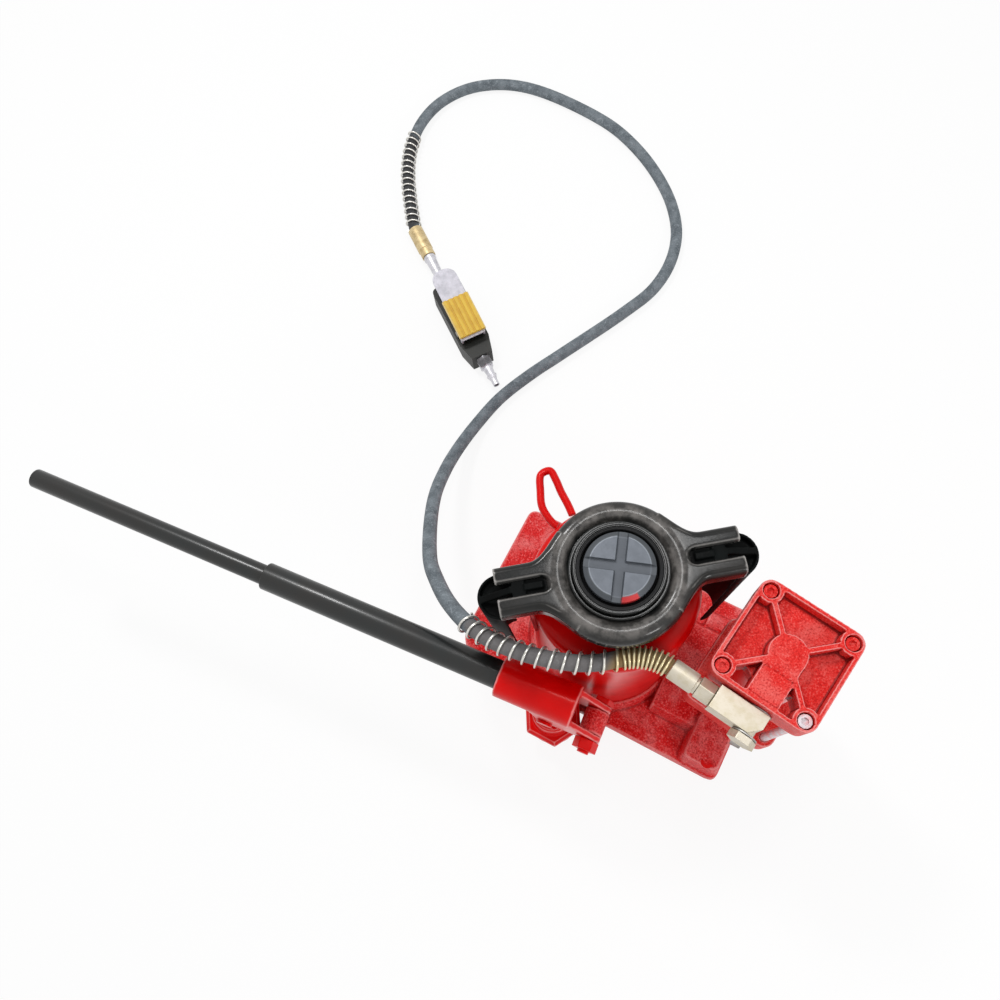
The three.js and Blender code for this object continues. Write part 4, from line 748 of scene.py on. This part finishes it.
hosePiece = wireCurve("hoseCover", hoseLine, hoseSetup["radius"], 6, hoseRubber)
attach(hosePiece, "jack")
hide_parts("hose")
motorTurns = springSetup["denseCoils"] + springSetup["openCoils"]
motorGuard = wireCurve(
    "motorGuardSpring", guardPoints(springSetup["endRoom"], motorGuardDistance, motorTurns, springSetup),
    springSetup["wire"], 2, springSteel)
valveGuard = wireCurve(
    "valveGuardSpring",
    guardPoints(hoseLength - springSetup["valveLength"] - springSetup["endRoom"],
                lambda turn: turn * springSetup["valveLength"] / springSetup["valveCoils"],
                springSetup["valveCoils"], springSetup),
    springSetup["wire"], 2, springSteel)
for spring, node in ((motorGuard, "motor_end_spring"), (valveGuard, "valve_end_spring")):
    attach(spring, "jack")
    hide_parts(node)
print("hose", round(hoseLength), "mm and guard springs wound")


# Tank, head, cylinder and ram

tankSetup = {"radius": 66, "foot": 24.3, "top": 212, "wall": 3, "shoulder": 8, "hole": 38.4, "edge": 0.6}


def makeTank(s):
    bm = bmesh.new()
    inside = s["radius"] - s["wall"]
    under = s["top"] - s["wall"]
    profile = [
        (inside, s["foot"]), (s["radius"], s["foot"]), (s["radius"], s["top"], s["shoulder"]),
        (s["hole"], s["top"]), (s["hole"], under), (inside, under, s["shoulder"] - s["wall"]),
    ]
    addTurned(bm, rounded(profile, s["edge"], steps=8), 160)
    linked("tankShell", bm, "jack", glossRed, ["reservoir_tank"])


makeTank(tankSetup)

headSetup = {
    "profile": (
        (38.3, 214.6), (44, 214.6), (44, 238), (41, 245), (40, 251), (34, 251), (34, 262.4, 0.4), (33.2, 263, 0.3),
        (32.3, 263, 0.2), (32.0, 262.2, 0.1), (31.5, 262.2, 0.1), (31.5, 253.5), (28.4, 253.5),
        (28.4, 236.3), (38.3, 236.3),
    ),
}


def makeTurnedPiece(name, profile, body, material, replaces, radius=0.4, steps=128, matrix=noTurn):
    bm = bmesh.new()
    onAxis = profile[0][0] == 0 and profile[-1][0] == 0
    addTurned(bm, rounded(list(profile), radius, loop=not onAxis), steps, matrix)
    return linked(name, bm, body, material, replaces)


def ringProfile(inner, outer, low, high):
    return [(inner, low), (outer, low), (outer, high), (inner, high)]


makeTurnedPiece("tankHead", headSetup["profile"], "jack", blackPaint, ["tank_head"])
makeTurnedPiece("wiperRing", [
    (28.4, 253.8), (31.2, 253.8), (31.2, 262), (30.2, 263, 0.3), (29.9, 262.3, 0.2), (29.5, 262.3, 0.2),
    (29.2, 263, 0.3), (28.4, 262),
], "jack", rubber, ["wiper_seal"], 0.2)
makeTurnedPiece("tankSealRing", ringProfile(40, 44, 212.3, 214.3), "jack", rubber, ["tank_seal"])
dressed("hydraulic_cylinder", steel)
dressed("guide_bush", brass)
dressed("ram_piston_seal", rubber, 0.2)
dressed("ram", ramChrome, 0.4)
dressed("extension_screw", steel)
print("tank and ram made")

saddleSetup = {
    "radius": 26, "foot": 258.3, "top": 267.7, "bevel": 4, "bevelDrop": 2.6, "spigot": 12.3, "spigotTop": 264.6,
    "groove": 8.6, "grooveDepth": 3, "turn": 19.5,
}


def makeSaddle(s):
    bm = bmesh.new()
    profile = [
        (0, s["spigotTop"]), (s["spigot"], s["spigotTop"]), (s["spigot"], s["foot"]), (s["radius"] - 1.5, s["foot"]),
        (s["radius"], s["foot"] + 1.5), (s["radius"], s["top"] - s["bevelDrop"]),
        (s["radius"] - s["bevel"], s["top"]), (0, s["top"]),
    ]
    addTurned(bm, rounded(profile, 0.5, loop=False), 128)
    piece = linked("saddleDisc", bm, "screw", saddleGrey, ["saddle"])
    half = s["groove"] / 2
    floor = s["top"] - s["grooveDepth"]
    for turn in (s["turn"], s["turn"] + 90):
        outline = [(-half, s["top"] + 2), (-half + 0.5, floor + 0.8), (-half + 1.3, floor),
                   (half - 1.3, floor), (half - 0.5, floor + 0.8), (half, s["top"] + 2)]
        cutters = bmesh.new()
        addPrism(cutters, outline, -30, 30, matrix=placed(0, 0, 0, turn) @ upright)
        cutBy(piece, cutters)
    return eased(piece, 0.45, 28)


makeSaddle(saddleSetup)
print("saddle made")


# Carrying handle and its grips

yokeSetup = {
    "sheet": 2.5,
    "section": ((34.8, 252.55), (37.4, 252.7), (39.2, 253.8), (41.0, 255.9), (43.2, 256.9), (45.8, 257.05),
                (48.4, 256.4), (50.8, 254.6), (52.3, 251.6), (52.75, 248.0), (52.75, 241.0)),
    "top": 258, "foot": 241, "end": 90, "half": 18.3, "edge": 5.5, "sheetStart": 45,
    "flare": ((38, 38), (48, 28), (54, 18.3), (64, 18.3)), "straight": 13,
    "slotStart": 56.5, "slotHalf": 5.5, "slotEdge": 3, "slotDepth": 5.5,
    "voxel": 0.7, "passes": 6,
}


def bezier(a, b, c, d, steps):
    points = [Vector(p) for p in (a, b, c, d)]
    line = []
    for k in range(steps + 1):
        t = k / steps
        weights = ((1 - t) ** 3, 3 * t * (1 - t) ** 2, 3 * t * t * (1 - t), t ** 3)
        line.append(tuple(sum((w * p for w, p in zip(weights, points)), Vector((0, 0)))))
    return line


def sweptEdge(bm, path, side, edge, depth, sheet, top, matrix):
    # A sheet bent down along a path: a quarter round, then a flat flange. side 1 has the sheet on the left.
    bend = [math.radians(90 * k / 6) for k in range(7)]
    section = [(0, top - depth)] + [(edge * (1 - math.cos(a)), top - edge * (1 - math.sin(a))) for a in bend]
    inner = edge - sheet
    section += [(edge - inner * math.cos(a), top - edge + inner * math.sin(a)) for a in reversed(bend)]
    section.append((edge - inner, top - depth))
    points, faces = [], []
    count = len(section)
    for i, (x, y) in enumerate(path):
        x0, y0 = path[max(i - 1, 0)]
        x1, y1 = path[min(i + 1, len(path) - 1)]
        along = Vector((x1 - x0, y1 - y0)).normalized()
        points += [(x - side * along.y * inset, y + side * along.x * inset, z) for inset, z in section]
    for i in range(len(path) - 1):
        for k in range(count):
            a, b = i * count + k, i * count + (k + 1) % count
            faces.append((a, b, b + count, a + count))
    last = (len(path) - 1) * count
    faces += [tuple(range(count))[::-1], tuple(range(last, last + count))]
    addMesh(bm, points, faces, matrix)


def makeYoke(s):
    bm = bmesh.new()
    line = smoothRoute([(r, z, 0) for r, z in s["section"]], 4)
    half = s["sheet"] / 2
    upper, lower = [], []
    for i, point in enumerate(line):
        along = (line[min(i + 1, len(line) - 1)] - line[max(i - 1, 0)]).normalized()
        upper.append((point.x - along.y * half, point.y + along.x * half))
        lower.append((point.x + along.y * half, point.y - along.x * half))
    addTurned(bm, upper + lower[::-1], 160)
    run = (s["end"] - s["flare"][3][0]) / s["straight"]
    edgePath = bezier(*s["flare"], steps=24)
    edgePath += [(s["flare"][3][0] + run * k, s["half"]) for k in range(1, s["straight"] + 1)]
    depth = s["top"] - s["foot"]
    reach = math.degrees(math.atan2(s["flare"][0][1], s["flare"][0][0])) - 4
    slotTurn = circle(s["slotHalf"], s["slotStart"], steps=24, start=90, sweep=180)
    for turn in (0, 180):
        place = placed(0, 0, 0, turn)
        for side in (1, -1):
            path = [(x, side * y) for x, y in edgePath]
            sweptEdge(bm, path, -side, s["edge"], depth, s["sheet"], s["top"], place)
            back = [(x, side * (y - s["edge"] + 1)) for x, y in edgePath if x > s["flare"][1][0]]
            turns = [math.radians(a) for a in range(0, int(reach), 2)]
            ringEdge = [(s["sheetStart"] * math.cos(a), side * s["sheetStart"] * math.sin(a)) for a in turns]
            slotSide = [(x, y) for x, y in slotTurn if side * y >= -0.001]
            slotSide = slotSide if side < 0 else slotSide[::-1]
            slotOuter = [(x - 1.5 if side * y < 4 else x, y + side * 1.5) for x, y in slotSide]
            lobe = ringEdge + back + [(s["end"], side * (s["slotHalf"] + 1.5))] + slotOuter[::-1]
            addPrism(bm, lobe, s["top"] - s["sheet"], s["top"], matrix=place)
        slotPath = [(s["end"], s["slotHalf"])] + slotTurn + [(s["end"], -s["slotHalf"])]
        sweptEdge(bm, slotPath, -1, s["slotEdge"], s["slotDepth"], s["sheet"], s["top"], place)
    bmesh.ops.transform(bm, matrix=yokePlace, verts=bm.verts)
    piece = linked("carryYoke", bm, "jack", yokePaint, ["carry_handle"])
    return fused(piece, s["voxel"], s["passes"])


makeYoke(yokeSetup)

gripSetup = {
    "radius": 17, "wall": 2, "bottom": 82, "top": 240.7, "centre": 88, "lean": 6.5, "taper": 1.6,
    "finHalf": 2.5, "fin": ((68.5, 250.2), (78.5, 250.2), (104, 236), (104.6, 240.4), (80, 255.2), (68.5, 255.2)),
    "hook": (68.5, 78.5, 10, 250.2, 255.2), "tab": (55.4, 69.5, 2.5, 252.4, 256.8),
    "shelf": (51.2, 69.5, 9, 250.4, 253.4), "lidStart": 70, "lidHalf": 13, "lid": (231.5, 234.5),
    "levels": 24, "rimSteps": 4, "voxel": 0.8, "passes": 2,
}


def makeGrip(s, name, turn, node):
    bm = bmesh.new()
    levels, rim = s["levels"], s["rimSteps"]
    rows = []
    for i in range(levels + 1):
        share = i / levels
        height = s["bottom"] + (s["top"] - s["bottom"]) * share
        outer = s["radius"] - s["taper"] * (1 - share)
        centre = s["centre"] - s["lean"] * (1 - share)
        mid = outer - s["wall"] / 2
        lip = s["wall"] / 2
        around = circle(outer, centre, 0, 32, -90, 180)
        around += circle(lip, centre, mid, rim, 90, 180)[1:-1]
        around += circle(outer - s["wall"], centre, 0, 32, -90, 180)[::-1]
        around += circle(lip, centre, -mid, rim, 90, 180)[1:-1]
        rows.append([(x, y, height) for x, y in around])
    count = len(rows[0])
    points = [p for row in rows for p in row]
    faces = [(i * count + k, i * count + (k + 1) % count, (i + 1) * count + (k + 1) % count, (i + 1) * count + k)
             for i in range(levels) for k in range(count)]
    faces += [tuple(range(count))[::-1], tuple(range(levels * count, (levels + 1) * count))]
    addMesh(bm, points, faces)
    # The lid and the shelf are black plates put in as painted shade: they close the grip's open top and the slot from
    # below, so the floor doesn't show through.
    lid = circle(s["radius"] - s["wall"] / 2, s["centre"], 0, 32, -90, 180)
    addPrism(bm, lid + [(s["lidStart"], s["lidHalf"]), (s["lidStart"], -s["lidHalf"])], *s["lid"])
    addPrism(bm, s["fin"], -s["finHalf"], s["finHalf"], matrix=upright)
    for start, end, wide, low, high in (s["hook"], s["tab"], s["shelf"]):
        addBox(bm, start, end, -wide, wide, low, high)
    bmesh.ops.transform(bm, matrix=placed(0, 0, 0, turn), verts=bm.verts)
    piece = linked(name, bm, "jack", gripPaint, [node])
    return fused(piece, s["voxel"], s["passes"])


makeGrip(gripSetup, "gripRight", yokeTurn, "grip_right")
makeGrip(gripSetup, "gripLeft", yokeTurn + 180, "grip_left")
makeTurnedPiece("handleNutRing", ringProfile(34.3, 36.9, 254.1, 257.3), "jack", blackPaint,
                ["handle_nut"], 0.7)
print("carrying handle made")

loopSetup = {
    "rod": 3.2, "height": 203, "wall": 66.6,
    "route": ((-60.5, 24.3), (-66, 25), (-80, 33), (-88, 45), (-94, 58), (-89, 64), (-81, 59), (-73, 52),
              (-63, 44.5), (-56, 38.5)),
}


def makeLoop(s):
    line = smoothRoute([(x, y, s["height"]) for x, y in s["route"]], 10)
    line = [p for p in line if math.hypot(p.x, p.y) > s["wall"]]
    piece = wireCurve("loopRod", line, s["rod"], 4, glossRed)
    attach(piece, "jack")
    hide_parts("carry_loop")


makeLoop(loopSetup)
dressed("filler_plug", plugRubber, 0.6)


# Base casting

baseSetup = {
    "left": 124, "right": 149, "front": 77, "back": 84, "thick": 14, "frontLeft": 26, "backLeft": 10, "rightCorner": 8,
    "seat": 71, "seatTop": 24, "seatSlope": 4, "tankRoom": 66.3, "weld": 3.5, "weldTop": 26,
    "spineFront": 42, "spineBack": 46, "spineTop": 29, "spineSlope": 9, "spineEnd": 5,
    "boss": (108, 147, -75, -22), "bossTop": 34, "bossSlope": 5, "bossCorner": 8,
    "ridge": (97, 57, 30, 10, 22), "barrelHole": (12.3, 14), "voxel": 1.1, "passes": 4, "lift": 0.4,
    "plateSlope": 1.2, "weldCrest": 1.8, "weldRound": 1.2, "weldDip": 0.3, "well": 38.4, "wellFloor": 18,
    "motorBoss": (18.5, 33.8, 2.2),
}
pumpSetup = {
    "ear": 24, "neck": 19, "reach": 42, "lugHalf": 10, "fulcrum": (38, 120), "eye": 10, "footHalf": 10,
    "footBack": 42, "footFront": 10.5, "footTop": 22, "spigotHole": (14.3, 10),
}


def makeBase(s, p):
    bm = bmesh.new()
    corners = [(-s["left"], -s["front"], s["frontLeft"]), (s["right"], -s["front"], s["rightCorner"]),
               (s["right"], s["back"], s["rightCorner"]), (-s["left"], s["back"], s["backLeft"])]
    addPrism(bm, rounded(corners, 0, steps=10), 0, s["thick"], shrink=s["plateSlope"])
    low, room = s["lift"], s["tankRoom"]
    seat = [(0, low), (s["seat"] + s["seatSlope"], low), (s["seat"], s["seatTop"]), (room + s["weld"], s["seatTop"]),
            (room + s["weldCrest"], s["weldTop"], s["weldRound"]), (room, s["weldTop"] - s["weldDip"]),
            (room, s["seatTop"]), (s["well"], s["seatTop"]), (s["well"], s["wellFloor"]), (0, s["wellFloor"])]
    addTurned(bm, rounded(seat, 0.5, loop=False), 160)
    spine = [(-s["spineFront"] - s["spineSlope"], low), (s["spineBack"] + s["spineSlope"], low),
             (s["spineBack"], s["spineTop"]), (-s["spineFront"], s["spineTop"])]
    turnOut = Matrix.Rotation(math.radians(90), 4, "Z") @ Matrix.Rotation(math.radians(90), 4, "X")
    addPrism(bm, rounded(spine, 3), room + 1, s["right"] - s["spineEnd"], matrix=turnOut)
    x0, x1, y0, y1 = s["boss"]
    boss = rounded([(x0, y0), (x1, y0), (x1, y1), (x0, y1)], s["bossCorner"], steps=8)
    addPrism(bm, boss, s["thick"] - 2, s["bossTop"], shrink=s["bossSlope"])
    x, y, length, radius, top = s["ridge"]
    addPrism(bm, circle(radius), -length / 2, length / 2, matrix=placed(x, y, top - radius) @ alongX)
    radius, top, slope = s["motorBoss"]
    addPrism(bm, circle(radius), low, top, matrix=motorPlace, shrink=slope)
    addPrism(bm, circle(p["ear"], steps=64), low, s["seatTop"], matrix=pumpPlace)
    addBox(bm, -p["neck"], p["neck"], 0, p["reach"], low, s["seatTop"], pumpPlace)
    fx, fz = p["fulcrum"]
    addBox(bm, fx - p["footHalf"], fx + p["footHalf"], -p["footFront"], p["footBack"], low, p["footTop"], pumpPlace)
    lug = hull([(fx, fz, p["eye"]), (fx - p["footHalf"] + 1, 1.5, 1), (fx + p["footHalf"] - 1, 1.5, 1)])
    addPrism(bm, lug, -p["lugHalf"], p["lugHalf"], matrix=pumpPlace @ upright)
    piece = fused(linked("baseCast", bm, "jack", baseRed, ["base_casting"]), s["voxel"], s["passes"])
    cutters = bmesh.new()
    for (radius, floor), place in ((s["barrelHole"], motorPlace), (p["spigotHole"], pumpPlace)):
        addPrism(cutters, circle(radius), floor, s["seatTop"] + 20, matrix=place)
    return cutBy(piece, cutters)


makeBase(baseSetup, pumpSetup)
dressed("release_valve", steel, 0.4)
dressed("overload_plug", glossRed, 0.4)
print("base made")


# Hand pump

pumpBodySetup = {
    "flats": 50, "foot": 24.3, "hexTop": 34.3, "chamfer": 3.4, "radius": 18.5, "top": 62, "bore": 9.9,
    "floor": 13, "spigot": 14, "spigotFoot": 10.3,
}


def makePump(s):
    bm = bmesh.new()
    hexPlace = placed(*pumpMiddle)
    addPrism(bm, hexagon(s["flats"]), s["foot"], s["hexTop"] - s["chamfer"], matrix=hexPlace)
    addPrism(bm, hexagon(s["flats"]), s["hexTop"] - s["chamfer"], s["hexTop"], matrix=hexPlace, shrink=s["chamfer"])
    barrel = [(0, s["floor"]), (s["bore"], s["floor"]), (s["bore"], s["top"]), (s["radius"] - 2, s["top"]),
              (s["radius"], s["top"] - 2), (s["radius"], s["foot"] + 1), (s["spigot"], s["foot"] + 1),
              (s["spigot"], s["spigotFoot"]), (0, s["spigotFoot"])]
    addTurned(bm, barrel, 96, pumpPlace)
    piece = linked("pumpBody", bm, "jack", forgedRed, ["pump_body"])
    fused(piece, 0.7, 3)
    dressed("pump_gland", glossRed, 0.6)
    dressed("pump_plunger", chrome, 0.4)
    dressed("plunger_pin", glossRed, 0.4)
    dressed("fulcrum_bolt", glossRed, 0.5)
    dressed("fulcrum_nut", glossRed, 0.6)


makePump(pumpBodySetup)

socketSetup = {
    "outer": 17.2, "inner": 12.1, "axis": 165, "left": -43.6, "right": 21.3, "boreEnd": 18.4,
    "cheeks": ((10.4, 15.4), (-15.4, -10.4)),
    "outline": ((0, 112, 9.5), (38, 120, 10), (-14, 158, 2.5), (18.8, 158, 2.5)),
    "pinHole": (0, 112, 5.2), "boltHole": (38, 120, 5.2), "voxel": 0.8, "passes": 4,
}


def makeSocket(s):
    bm = bmesh.new()
    tube = [(0, s["right"]), (s["outer"], s["right"]), (s["outer"], s["left"]), (s["inner"], s["left"]),
            (s["inner"], s["boreEnd"]), (0, s["boreEnd"])]
    addTurned(bm, rounded(tube[::-1], 0.5, loop=False), 96, placed(0, 0, s["axis"]) @ alongX)
    for near, far in s["cheeks"]:
        holes = [circle(r, x, z, 24) for x, z, r in (s["pinHole"], s["boltHole"])]
        addPrism(bm, hull(s["outline"]), -far, -near, holes, upright)
    bmesh.ops.transform(bm, matrix=pumpPlace, verts=bm.verts)
    piece = linked("handleSocket", bm, "pump_lever", forgedRed, ["handle_socket"])
    return fused(piece, s["voxel"], s["passes"])


makeSocket(socketSetup)

tubeSetup = {
    "tube": (9.2, 11.8, -259, 18.1), "extension": (6.8, 8.6, -497, -199),
    "axis": socketSetup["axis"], "edge": 0.8,
}


def makeTubes(s):
    place = pumpPlace @ placed(0, 0, s["axis"]) @ alongX
    for name, key, body, node in (("handleTube", "tube", "handle", "handle_tube"),
                                  ("handleExtension", "extension", "handle_end", "handle_extension")):
        makeTurnedPiece(name, ringProfile(*s[key]), body, tubePaint, [node], s["edge"], 96, place)


makeTubes(tubeSetup)
print("hand pump made")


# Air motor

def makeHead(name, node, voxel=0.75, passes=3):
    mesh = nodes[node].data.copy()
    bm = bmesh.new()
    bm.from_mesh(mesh)
    bmesh.ops.remove_doubles(bm, verts=bm.verts, dist=0.00001)
    bm.to_mesh(mesh)
    bm.free()
    piece = settled(name, mesh, "jack", headRed, [node])
    return fused(piece, voxel, passes)


makeHead("upperHead", "motor_upper_head")
makeHead("lowerHead", "motor_lower_head", 0.9)
makeTurnedPiece("motorTube", ringProfile(25.5, 28, 103.3, 211.7), "jack", glossRed,
                ["motor_cylinder"], 0.3, 128, motorPlace)
makeTurnedPiece("motorBarrel", [
    (0, 19), (6.4, 19), (6.4, 74.7), (16, 74.7), (16, 34.3), (12, 34.3), (12, 14.3), (0, 14.3),
], "jack", castRed, ["motor_barrel"], 0.5, 96, motorPlace)
for number, look in enumerate((boltRed, pinkSteel, boltRed, boltRed), 1):
    dressed("tie_bolt_" + str(number), look, 0.3)
dressed("air_piston", steel, 0.4)
dressed("air_piston_seal", rubber, 0.3)
dressed("air_plunger", chrome, 0.3)

returnSpringSetup = {
    "radius": 11, "wire": 1.5, "foot": 103.3, "top": 199.4, "turns": 12, "stepsPerTurn": 36, "stroke": 45,
}


def makeReturnSpring(s):
    # A coil under the air piston.
    count = s["turns"] * s["stepsPerTurn"]
    low, high = s["foot"] + s["wire"], s["top"] - s["wire"]
    points = []
    for i in range(count + 1):
        angle = 2 * math.pi * i / s["stepsPerTurn"]
        height = low + (high - low) * i / count
        points.append(motorPlace @ Vector((s["radius"] * math.cos(angle), s["radius"] * math.sin(angle), height)))
    wire = wireCurve("returnWire", points, s["wire"], 2, springSteel)
    bpy.context.view_layer.update()
    mesh = bpy.data.meshes.new_from_object(wire.evaluated_get(bpy.context.evaluated_depsgraph_get()))
    bpy.data.objects.remove(wire)
    piece = settled("returnSpring", mesh, "jack", springSteel, ["return_spring"])
    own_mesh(piece)


makeReturnSpring(returnSpringSetup)
print("air motor made")


# Air connection and control valve

dressed("connector_block", zinc, 0.8)
dressed("banjo_bolt", zinc, 0.7)
dressed("banjo_washer", steel, 0.2)
dressed("motor_washer", steel, 0.2)
dressed("hose_swivel_nut", zinc, 0.8)
dressed("hose_ferrule", zinc, 0.3)
valveAxis = valvePlace @ alongX
ferruleTurned = [(0, 0), (8.6, 0, 0.6), (8.6, 8.6), (8.2, 9.0, 0.2), (8.2, 10.0, 0.2), (8.6, 10.4), (8.6, 30.8),
                 (7.9, 31.5), (7.9, 41, 0.6), (0, 41)]
stemTurned = [(0, 41.3), (7.0, 41.3, 0.5), (7.0, 45.3, 0.5), (6.2, 45.3), (5.6, 62), (5.2, 62.4), (4.6, 88.3),
              (0, 88.3)]
nippleTurned = [(0, 199), (5.4, 199), (5.4, 203), (4.2, 211.7), (5.8, 211.7), (4.2, 215.9), (3.6, 217),
                (3.4, 224.9, 0.6), (2.2, 224.9, 0.4), (2.2, 216), (0, 216)]
ferrulePiece = makeTurnedPiece("valveFerruleShell", ferruleTurned, "jack", tanSteel, ["valve_ferrule"],
                               0.3, 96, valveAxis)
stemPiece = makeTurnedPiece("valveStemRod", stemTurned, "jack", silver, ["swivel_stem"], 0.3, 96, valveAxis)


def makeNipple():
    bm = bmesh.new()
    addTurned(bm, rounded(nippleTurned, 0.3, loop=False), 96, valveAxis)
    addPrism(bm, rounded(hexagon(14), 0.8), 188.9, 200.2, matrix=valveAxis)
    addPrism(bm, rounded(hexagon(14), 0.8), 200.2, 200.9, matrix=valveAxis, shrink=0.7)
    return eased(linked("nippleEnd", bm, "jack", silver, ["quick_connect_nipple"]), 0.3)


nipplePiece = makeNipple()
dressed("valve_body", oliveBody, 1.4)
dressed("valve_lever", leverSteel, 0.5)
dressed("lever_pad", yellowPlastic, 0.4)
dressed("lever_pin", steel, 0.3)
dressed("valve_stem", steel, 0.4)
onHose = [motorGuard, valveGuard, ferrulePiece, stemPiece, nipplePiece]
onHose += [nodes[name] for name in ("valve_body", "valve_lever", "lever_pad", "lever_pin", "valve_stem")]
print("connection and valve dressed")


# Floor and light

stageSetup = {
    "floorSize": 30.0, "floorDrop": 0.0003, "floorTone": 0.95, "floorGlow": 0.88, "fill": 0.56,
    "key": {"place": (-0.9, 0.5, 1.5), "aim": (0, 0, 0.1), "size": 0.26, "power": 9.0},
    "side": {"place": (1.1, -0.5, 0.9), "aim": (0, 0, 0.1), "size": 0.25, "power": 4.0},
    "top": {"place": (-0.06, 0.36, 1.5), "aim": (0, 0, 0.25), "size": 0.28, "power": 3.2},
}


def makeFloor(s):
    half = s["floorSize"] / 2
    mesh = bpy.data.meshes.new("studioFloor")
    mesh.from_pydata([(-half, -half, 0), (half, -half, 0), (half, half, 0), (-half, half, 0)], [], [(0, 1, 2, 3)])
    floor = bpy.data.objects.new("studioFloor", mesh)
    floor.location.z = -s["floorDrop"]
    bpy.context.scene.collection.objects.link(floor)
    paper = Finish("floorPaper", Base_Color=(s["floorTone"],) * 3 + (1,), Roughness=0.9, Specular_IOR_Level=0.1)
    glow = paper.node("ShaderNodeEmission", {}, {"Color": (1, 1, 1, 1), "Strength": 1.0})
    base = Amount(paper, paper.shader.outputs[0])
    both = paper.node("ShaderNodeMixShader", {}, {0: paper.shown() * s["floorGlow"], 1: base, 2: glow})
    output = next(n for n in paper.tree.nodes if n.type == "OUTPUT_MATERIAL")
    paper.tree.links.new(both.socket, output.inputs["Surface"])
    mesh.materials.append(paper.material)


def makeWorld(s):
    # Soft light from all round, and plain white for what the camera sees.
    world = bpy.data.worlds.new("studio")
    bpy.context.scene.world = world
    world.use_nodes = True
    world.node_tree.nodes.clear()
    sky = Nodes(world.node_tree)
    fill = sky.node("ShaderNodeBackground", {}, {"Color": (1, 1, 1, 1), "Strength": s["fill"]})
    white = sky.node("ShaderNodeBackground", {}, {"Color": (1, 1, 1, 1), "Strength": 1.0})
    both = sky.node("ShaderNodeMixShader", {}, {0: sky.shown(), 1: fill, 2: white})
    output = sky.tree.nodes.new("ShaderNodeOutputWorld")
    sky.tree.links.new(both.socket, output.inputs["Surface"])


def makeLamp(name, s):
    lamp = bpy.data.lights.new(name, "AREA")
    lamp.size = s["size"]
    lamp.energy = s["power"]
    holder = bpy.data.objects.new(name, lamp)
    holder.location = s["place"]
    aim = Vector(s["aim"]) - Vector(s["place"])
    holder.rotation_euler = aim.to_track_quat("-Z", "Y").to_euler()
    bpy.context.scene.collection.objects.link(holder)


makeFloor(stageSetup)
makeWorld(stageSetup)
for name in ("key", "side", "top"):
    makeLamp(name + "Light", stageSetup[name])
bpy.context.scene.view_settings.view_transform = "Standard"
print("stage lit")
